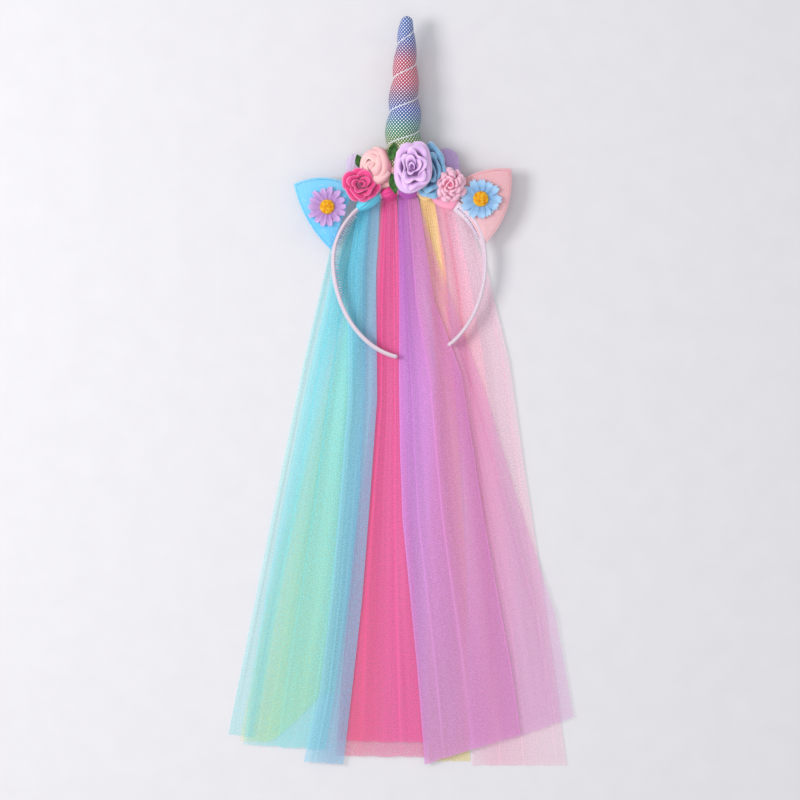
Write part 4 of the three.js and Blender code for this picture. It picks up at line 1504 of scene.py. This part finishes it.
@dataclass
class Studio:
    """Camera, floor and light."""

    view_width: float = 0.72
    focus: tuple[float, float, float] = (-0.00085, -0.00798, 0.01)
    distance: float = 3.6
    sensor: float = 36
    floor_depth: float = 0.0003
    daylight: float = 0.6
    aim: tuple[float, float, float] = (0, 0.05, 0)
    lamps: tuple[tuple, ...] = (
        ("key", (-1.4, 0.3, 1.5), 0.75, 22, (1.0, 0.98, 0.97)),
        ("top", (-0.3, -0.2, 2.2), 1.6, 8.2, (0.98, 0.98, 1.0)),
    )

    def camera(self) -> None:
        """Look straight down with the horn at the top of the picture."""
        data = bpy.data.cameras.new("camera")
        data.sensor_width = self.sensor
        data.lens = self.sensor * self.distance / self.view_width
        data.clip_end = 20
        made = show("camera", data)
        made.location = Vector(self.focus) + Vector((0, 0, self.distance))
        bpy.context.scene.camera = made

    def lamp(self, name: str, spot: Row, size: float, power: float, colour: Colour) -> None:
        """Hang one soft lamp that points at the headband.

        Args:
            name: The object's name.
            spot: Its place.
            size: Its width in metres.
            power: Its power in watts.
            colour: Its colour.
        """
        data = bpy.data.lights.new(name, "AREA")
        data.size, data.energy, data.color = size, power, colour
        made = show(name, data)
        made.location = spot
        made.rotation_mode = "QUATERNION"
        made.rotation_quaternion = (Vector(self.aim) - Vector(spot)).to_track_quat("-Z", "Y")

    def build(self) -> None:
        """Lay the floor and light the scene."""
        bm = bmesh.new()
        under = Matrix.Translation((0, 0, -self.floor_depth))
        bmesh.ops.create_grid(bm, x_segments=2, y_segments=2, size=2.5, matrix=under)
        mesh = bpy.data.meshes.new("floor")
        bm.to_mesh(mesh)
        bm.free()
        shader = Shader("floor_paper")
        fibres = shader.grain(shader.where(), 40, 3)
        colour = shader.ramp(fibres, ((0.3, (0.76, 0.755, 0.785)), (0.7, (0.78, 0.775, 0.80))))
        mesh.materials.append(shader.finish(colour, 0.9, 0.1))
        floor = show("floor", mesh)
        world = bpy.data.worlds.new("studio")
        world.use_nodes = True
        sky = world.node_tree.nodes["Background"].inputs
        sky[0].default_value, sky[1].default_value = (0.97, 0.97, 1.0, 1), self.daylight
        bpy.context.scene.world = world
        for lamp in self.lamps:
            self.lamp(*lamp)
        bpy.context.scene.view_settings.view_transform = "Standard"
        bpy.context.scene.cycles.transparent_max_bounces = 40


def veil_strips() -> list[Strip]:
    """List the nine strips with their edges, pleats and finishes.

    Returns:
        The strips.
    """
    blue, pale, yellow, pink, lilac = "tulle_blue", "tulle_pale_blue", "tulle_yellow", "tulle_pink", "tulle_pale_lilac"
    return [
        Strip(
            "tulle_blue_pale", (-44, -37.5), 0, False, (0.945, 0.952),
            (
                (0.088, -0.406, -0.3), (0.177, -0.474, -0.315), (0.283, -0.554, -0.42),
                (0.53, -0.718, -0.576), (0.707, -0.832, -0.7), (1, -1.022, -0.86),
            ),
            (Pleat(0.12, 0.06), Pleat(0.7, 0.1)),
            NetFinish("net_pale_blue", tint(140, 236, 246), tint(190, 248, 248), tint(176, 240, 244), 0.42, 0.4),
            pale,
        ),
        Strip(
            "tulle_yellow_left", (-34, -22), 0, False, (0.957, 0.967),
            (
                (0.088, -0.285, -0.17), (0.177, -0.3, -0.18), (0.283, -0.4, -0.22),
                (0.53, -0.62, -0.3), (0.707, -0.76, -0.33), (1, -0.95, -0.42),
            ),
            (Pleat(0.3, 0.05), Pleat(0.66, 0.06)),
            NetFinish("net_yellow_left", tint(200, 245, 222), tint(226, 246, 190), tint(240, 244, 165), 0.6, 0.72),
            yellow, densities=((0, 0.2), (0.35, 1), (0.7, 1), (1, 0.25)), corner=0.1,
        ),
        Strip(
            "tulle_blue_middle", (-42, -28), 1, False, (0.963, 0.973),
            (
                (0.124, -0.39, -0.2), (0.353, -0.556, -0.213), (0.53, -0.667, -0.247),
                (0.707, -0.775, -0.304), (0.866, -0.86, -0.378), (1, -0.912, -0.45),
            ),
            (Pleat(0.16, 0.05), Pleat(0.42, 0.07), Pleat(0.78, 0.06)),
            NetFinish("net_blue_middle", tint(96, 222, 244), tint(136, 240, 252), tint(130, 228, 232), 0.58, 0.46),
            blue, densities=((0, 0.6), (0.2, 0.75), (0.45, 1), (1, 1)),
        ),
        Strip(
            "tulle_hot_pink", (-19.4, -7.4), 1.3, True, (0.983, 0.986),
            (
                (0.177, -0.155, 0.0), (0.353, -0.165, 0.014), (0.53, -0.235, 0.038),
                (0.707, -0.3, 0.075), (1, -0.38, 0.145),
            ),
            (Pleat(0.27, 0.09, 1.3), Pleat(0.72, 0.05, 1.6)),
            NetFinish(
                "net_hot_pink", tint(236, 58, 146), tint(238, 78, 148), tint(236, 84, 138), 0.88, 0.8,
                far=tint(238, 92, 162), single_from=0.972,
            ),
            "tulle_hot_pink", densities=((0, 0.5), (0.15, 0.95), (1, 1)),
        ),
        Strip(
            "tulle_lilac", (0, 8), 1, False, (0.96, 0.915),
            (
                (0.106, 0.08, 0.205), (0.353, 0.27, 0.49), (0.53, 0.37, 0.66), (0.731, 0.47, 0.872), (1, 0.587, 1.03),
            ),
            (Pleat(0.35, 0.03), Pleat(0.75, 0.04)),
            NetFinish("net_lilac", tint(228, 140, 205), tint(238, 158, 215), tint(232, 172, 228), 0.55, 0.48),
            lilac, densities=((0, 0.3), (0.3, 0.8), (0.7, 0.8), (1, 0.55)),
        ),
        Strip(
            "tulle_yellow", (9.2, 20.6), 0, True, (0.993, 0.993),
            (
                (0.106, 0.15, 0.247), (0.283, 0.196, 0.293), (0.472, 0.173, 0.335),
                (0.652, 0.15, 0.367), (1, 0.15, 0.39),
            ),
            (Pleat(0.4, 0.1),),
            NetFinish("net_yellow", tint(252, 216, 140), tint(252, 200, 160), tint(240, 228, 150), 0.85, 0.5),
            yellow,
        ),
        Strip(
            "tulle_pink", (20.4, 40), 0.3, True, (1.0, 1.0),
            (
                (0.03, 0.2, 0.38), (0.124, 0.235, 0.486), (0.283, 0.28, 0.61),
                (0.472, 0.345, 0.696), (0.652, 0.378, 0.786), (1, 0.4, 0.94),
            ),
            (Pleat(0.3, 0.06), Pleat(0.55, 0.05), Pleat(0.9, 0.04)),
            NetFinish(
                "net_pink", tint(255, 165, 198), tint(255, 172, 192), tint(250, 196, 220), 0.75, 0.5,
                far=tint(252, 214, 232),
            ),
            pink, densities=((0, 0.4), (0.22, 0.95), (0.5, 1), (0.75, 0.8), (1, 0.65)),
        ),
        Strip(
            "tulle_blue_front", (-40.5, -20.6), 2, True, (0.993, 0.998),
            (
                (0.124, -0.304, -0.145), (0.353, -0.304, -0.139), (0.53, -0.349, -0.179),
                (0.707, -0.4, -0.224), (0.866, -0.463, -0.281), (1, -0.559, -0.332),
            ),
            (Pleat(0.28, 0.07), Pleat(0.6, 0.05)),
            NetFinish(
                "net_blue_front", tint(88, 218, 246), tint(146, 212, 234), tint(146, 214, 238), 0.64, 0.5,
                far=tint(126, 184, 222),
            ),
            blue, rims=(0.8, 0.3),
        ),
        Strip(
            "tulle_purple", (-6.2, 8), 2, True, (0.998, 0.945),
            (
                (0.177, -0.012, 0.185), (0.306, -0.014, 0.338), (0.438, -0.009, 0.406),
                (0.567, 0.006, 0.468), (0.818, 0.086, 0.619), (1, 0.133, 0.7),
            ),
            (Pleat(0.2, 0.05, 1.6), Pleat(0.5, 0.1, 1.2)),
            NetFinish(
                "net_purple", tint(190, 86, 192), tint(218, 136, 226), tint(218, 146, 208), 0.76, 0.66,
                far=tint(228, 138, 208),
            ),
            "tulle_purple", densities=((0, 1.05), (0.35, 1.05), (0.55, 0.98), (0.8, 0.68), (1, 0.62)), rims=(0.3, 1.1),
        ),
    ]


def felt_ears(hoop: Hoop) -> list[Ear]:
    """List the two ears.

    Args:
        hoop: The hoop that they are sewn to.

    Returns:
        The left and the right ear.
    """
    lifts = [hoop.point(angle).z + 2.6 for angle in (-62, 62)]
    low, high = (place(0, y, 0).y for y in (135.0, 190.0))
    # The second colour of each felt is painted light and shade at the ear's foot: paler on the pink ear, deeper on the
    # blue.
    blue = FeltFinish("felt_sky_blue", tint(118, 208, 246), tint(88, 196, 250), low, high)
    pink = FeltFinish("felt_dusty_pink", tint(233, 172, 180), tint(240, 190, 196), low, high)
    blue_thread = GrainFinish("thread_blue", tint(30, 105, 170), tint(70, 150, 205), 800)
    pink_thread = GrainFinish("thread_pink", tint(180, 105, 120), tint(215, 150, 160), 800)
    return [
        Ear(
            "ear_left", (-96.8, 188.6), (-42, 186), (-63.5, 129.5), (7, 5.2), lifts[0],
            blue, blue_thread, "felt_sky_blue",
        ),
        Ear(
            "ear_right", (98.6, 202.2), (46, 186), (74.2, 133.5), (6, 8.5), lifts[1],
            pink, pink_thread, "felt_dusty_pink",
        ),
    ]


def cloth_flowers() -> list[Flower]:
    """List the five flowers at the horn's foot.

    Returns:
        The flowers.
    """
    bud = (
        Whorl(4, 0.5, 0.0, 0.96, 0.45, 0.7, 0.0, 0.14, 0.04, 1.4),
        Whorl(3, 0.45, 0.05, 0.52, 0.9, 0.8, 0.45, 0.0, 0.03, 1.4, 0.16, 0.4),
        Whorl(3, 0.3, 0.1, 0.28, 1.0, 0.8, 0.1, 0.0, 0.03, 1.4, 0.14, 0.34),
        Whorl(2, 0.1, 0.2, 0.0, 1.02, 1.0, 0.3, 0.0, 0.0, 1.0, 0.03, 0.26),
    )
    ruffled = (
        Whorl(4, 0.5, 0.4, 0.98, 0.64, 0.8, 0.1, 0.12, 0.045, 1.7),
        Whorl(3, 0.38, 0.05, 0.85, 0.8, 0.78, 0.5, 0.08, 0.1, 2.2),
        Whorl(3, 0.22, 0.1, 0.62, 0.95, 0.7, 0.15, 0.03, 0.13, 2.0),
        Whorl(2, 0.1, 0.1, 0.38, 1.0, 0.7, 0.6, 0.02, 0.12, 1.4),
        Whorl(1, 0.03, 0.2, 0.16, 0.98, 0.4, 0.1, 0.02, 0.04, 1.2),
    )
    layered = (
        Whorl(5, 0.45, 0.2, 0.98, 0.84, 0.7, 0.1, 0.08, 0.05, 1.6),
        Whorl(4, 0.3, 0.2, 0.72, 0.96, 0.7, 0.5, 0.06, 0.06, 1.6),
        Whorl(3, 0.1, 0.2, 0.4, 1.0, 0.7, 0.2, 0.04, 0.06, 1.4),
    )
    open_rose = (
        Whorl(5, 0.2, 0.0, 0.98, 0.62, 0.68, 0.1, 0.04, 0.05, 1.3),
        Whorl(4, 0.15, 0.0, 0.76, 0.92, 0.6, 0.6, 0.03, 0.07, 1.3),
        Whorl(3, 0.08, 0.0, 0.46, 1.0, 0.6, 0.2, 0.02, 0.08, 1.2),
        Whorl(1, 0.02, 0.1, 0.2, 0.95, 0.45, 0.0, 0.02, 0.04, 1.0),
    )
    frilled = (
        Whorl(9, 0.5, 0.1, 0.98, 0.45, 0.5, 0.0, 0.1, 0.02, 1.0),
        Whorl(8, 0.42, 0.25, 0.85, 0.66, 0.5, 0.5, 0.1, 0.02, 1.0),
        Whorl(7, 0.3, 0.35, 0.68, 0.84, 0.5, 0.2, 0.08, 0.03, 1.0),
        Whorl(5, 0.18, 0.4, 0.48, 0.95, 0.52, 0.0, 0.06, 0.03, 1.0),
        Whorl(3, 0.06, 0.4, 0.25, 1.0, 0.55, 0.3, 0.04, 0.03, 1.0),
    )
    # Each petal finish lists the throat's painted shade, the body colour and the rim's painted highlight.
    return [
        Flower(
            "rose_lilac", (10.1, 202.5, 24.0), (18.2, 24.3), 20.5, 20, ruffled,
            PetalFinish("petals_lilac", tint(104, 26, 124), tint(236, 188, 248), tint(250, 226, 255)), "rose_lilac", 11,
        ),
        Flower(
            "rose_pale_pink", (-21.4, 203.4, 12.0), (17.4, 19.2), 25.0, 75, bud,
            PetalFinish("petals_pale_pink", tint(216, 104, 128), tint(252, 190, 196), tint(255, 226, 214)),
            "rose_pale_pink", 12, tilt=(-8, -36), core=0.6,
        ),
        Flower(
            "rose_blue", (25.0, 199.0, 10.0), (15.0, 26.0), 22.5, 50, layered,
            PetalFinish("petals_blue", tint(40, 90, 150), tint(118, 182, 222), tint(196, 214, 242)), "rose_blue", 13,
        ),
        Flower(
            "rose_hot_pink", (-36.0, 187.2, 21.0), (18.2, 16.5), 16.5, 5, open_rose,
            PetalFinish("petals_hot_pink", tint(110, 0, 56), tint(232, 38, 126), tint(252, 150, 196)),
            "rose_hot_pink", 14,
        ),
        Flower(
            "carnation_pink", (43.6, 187.2, 20.0), (15.3, 16.0), 16.5, 10, frilled,
            PetalFinish("petals_carnation", tint(222, 80, 128), tint(255, 188, 214), tint(255, 222, 236)),
            "carnation_pink", 15, wall=0.4,
        ),
    ]


def daisies() -> list[Daisy]:
    """List the daisies on the ears.

    Returns:
        The daisies.
    """
    # Each petal finish lists the throat's painted shade, the body colour and the rim's painted highlight.
    lilac = PetalFinish("petal_lilac", tint(170, 120, 195), tint(205, 165, 226), tint(226, 196, 240))
    blue = PetalFinish("petal_blue", tint(110, 160, 215), tint(160, 205, 246), tint(195, 225, 250))
    return [
        Daisy("daisy_lilac", (-66.7, 167.9), 19.2, 7, 14, 0.93, lilac, "petal_lilac", 3),
        Daisy("daisy_blue", (71.1, 174.9), 19.8, 7.4, 12, 0.9, blue, "petal_sky_blue", 5, plump=0.76),
    ]


def leaves() -> list[Leaf]:
    """List the leaves between the flowers.

    Returns:
        The leaves.
    """
    return [
        Leaf("leaf_left", (-37.6, 208.8), (4.2, 7.0), 20),
        Leaf("leaf_middle", (-8.0, 216.5), (4.2, 8.5), -12),
        Leaf("leaf_low", (-7.0, 188), (4.0, 9.5), 12),
    ]


def puffs() -> list[Puff]:
    """List the loops of net behind the flowers.

    Returns:
        The loops.
    """
    lilac = NetFinish("net_puff_lilac", *[tint(225, 205, 240)] * 3, 0.5, 0.5)
    purple = NetFinish("net_puff_purple", *[tint(212, 172, 240)] * 3, 0.4, 0.4)
    return [
        Puff("puff_lilac", (-42.8, 207.4), (7.0, 9.0), -15, lilac, "tulle_pale_lilac"),
        Puff("puff_purple", (40.8, 209.3), (11.0, 12.0), 20, purple, "tulle_purple"),
    ]


def main() -> None:
    """Build the whole headband."""
    logging.basicConfig(level=logging.INFO, format="%(name)s %(message)s")
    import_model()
    studio = Studio()
    studio.camera()
    studio.build()
    bench = Workbench()
    hoop = Hoop()
    hoop.build(bench)
    Horn().build(bench)
    for part in (*daisies(), *felt_ears(hoop), *cloth_flowers(), *leaves(), *puffs()):
        part.build(bench)
    Veil(hoop, veil_strips()).build(bench)


if __name__ == "__main__":
    main()
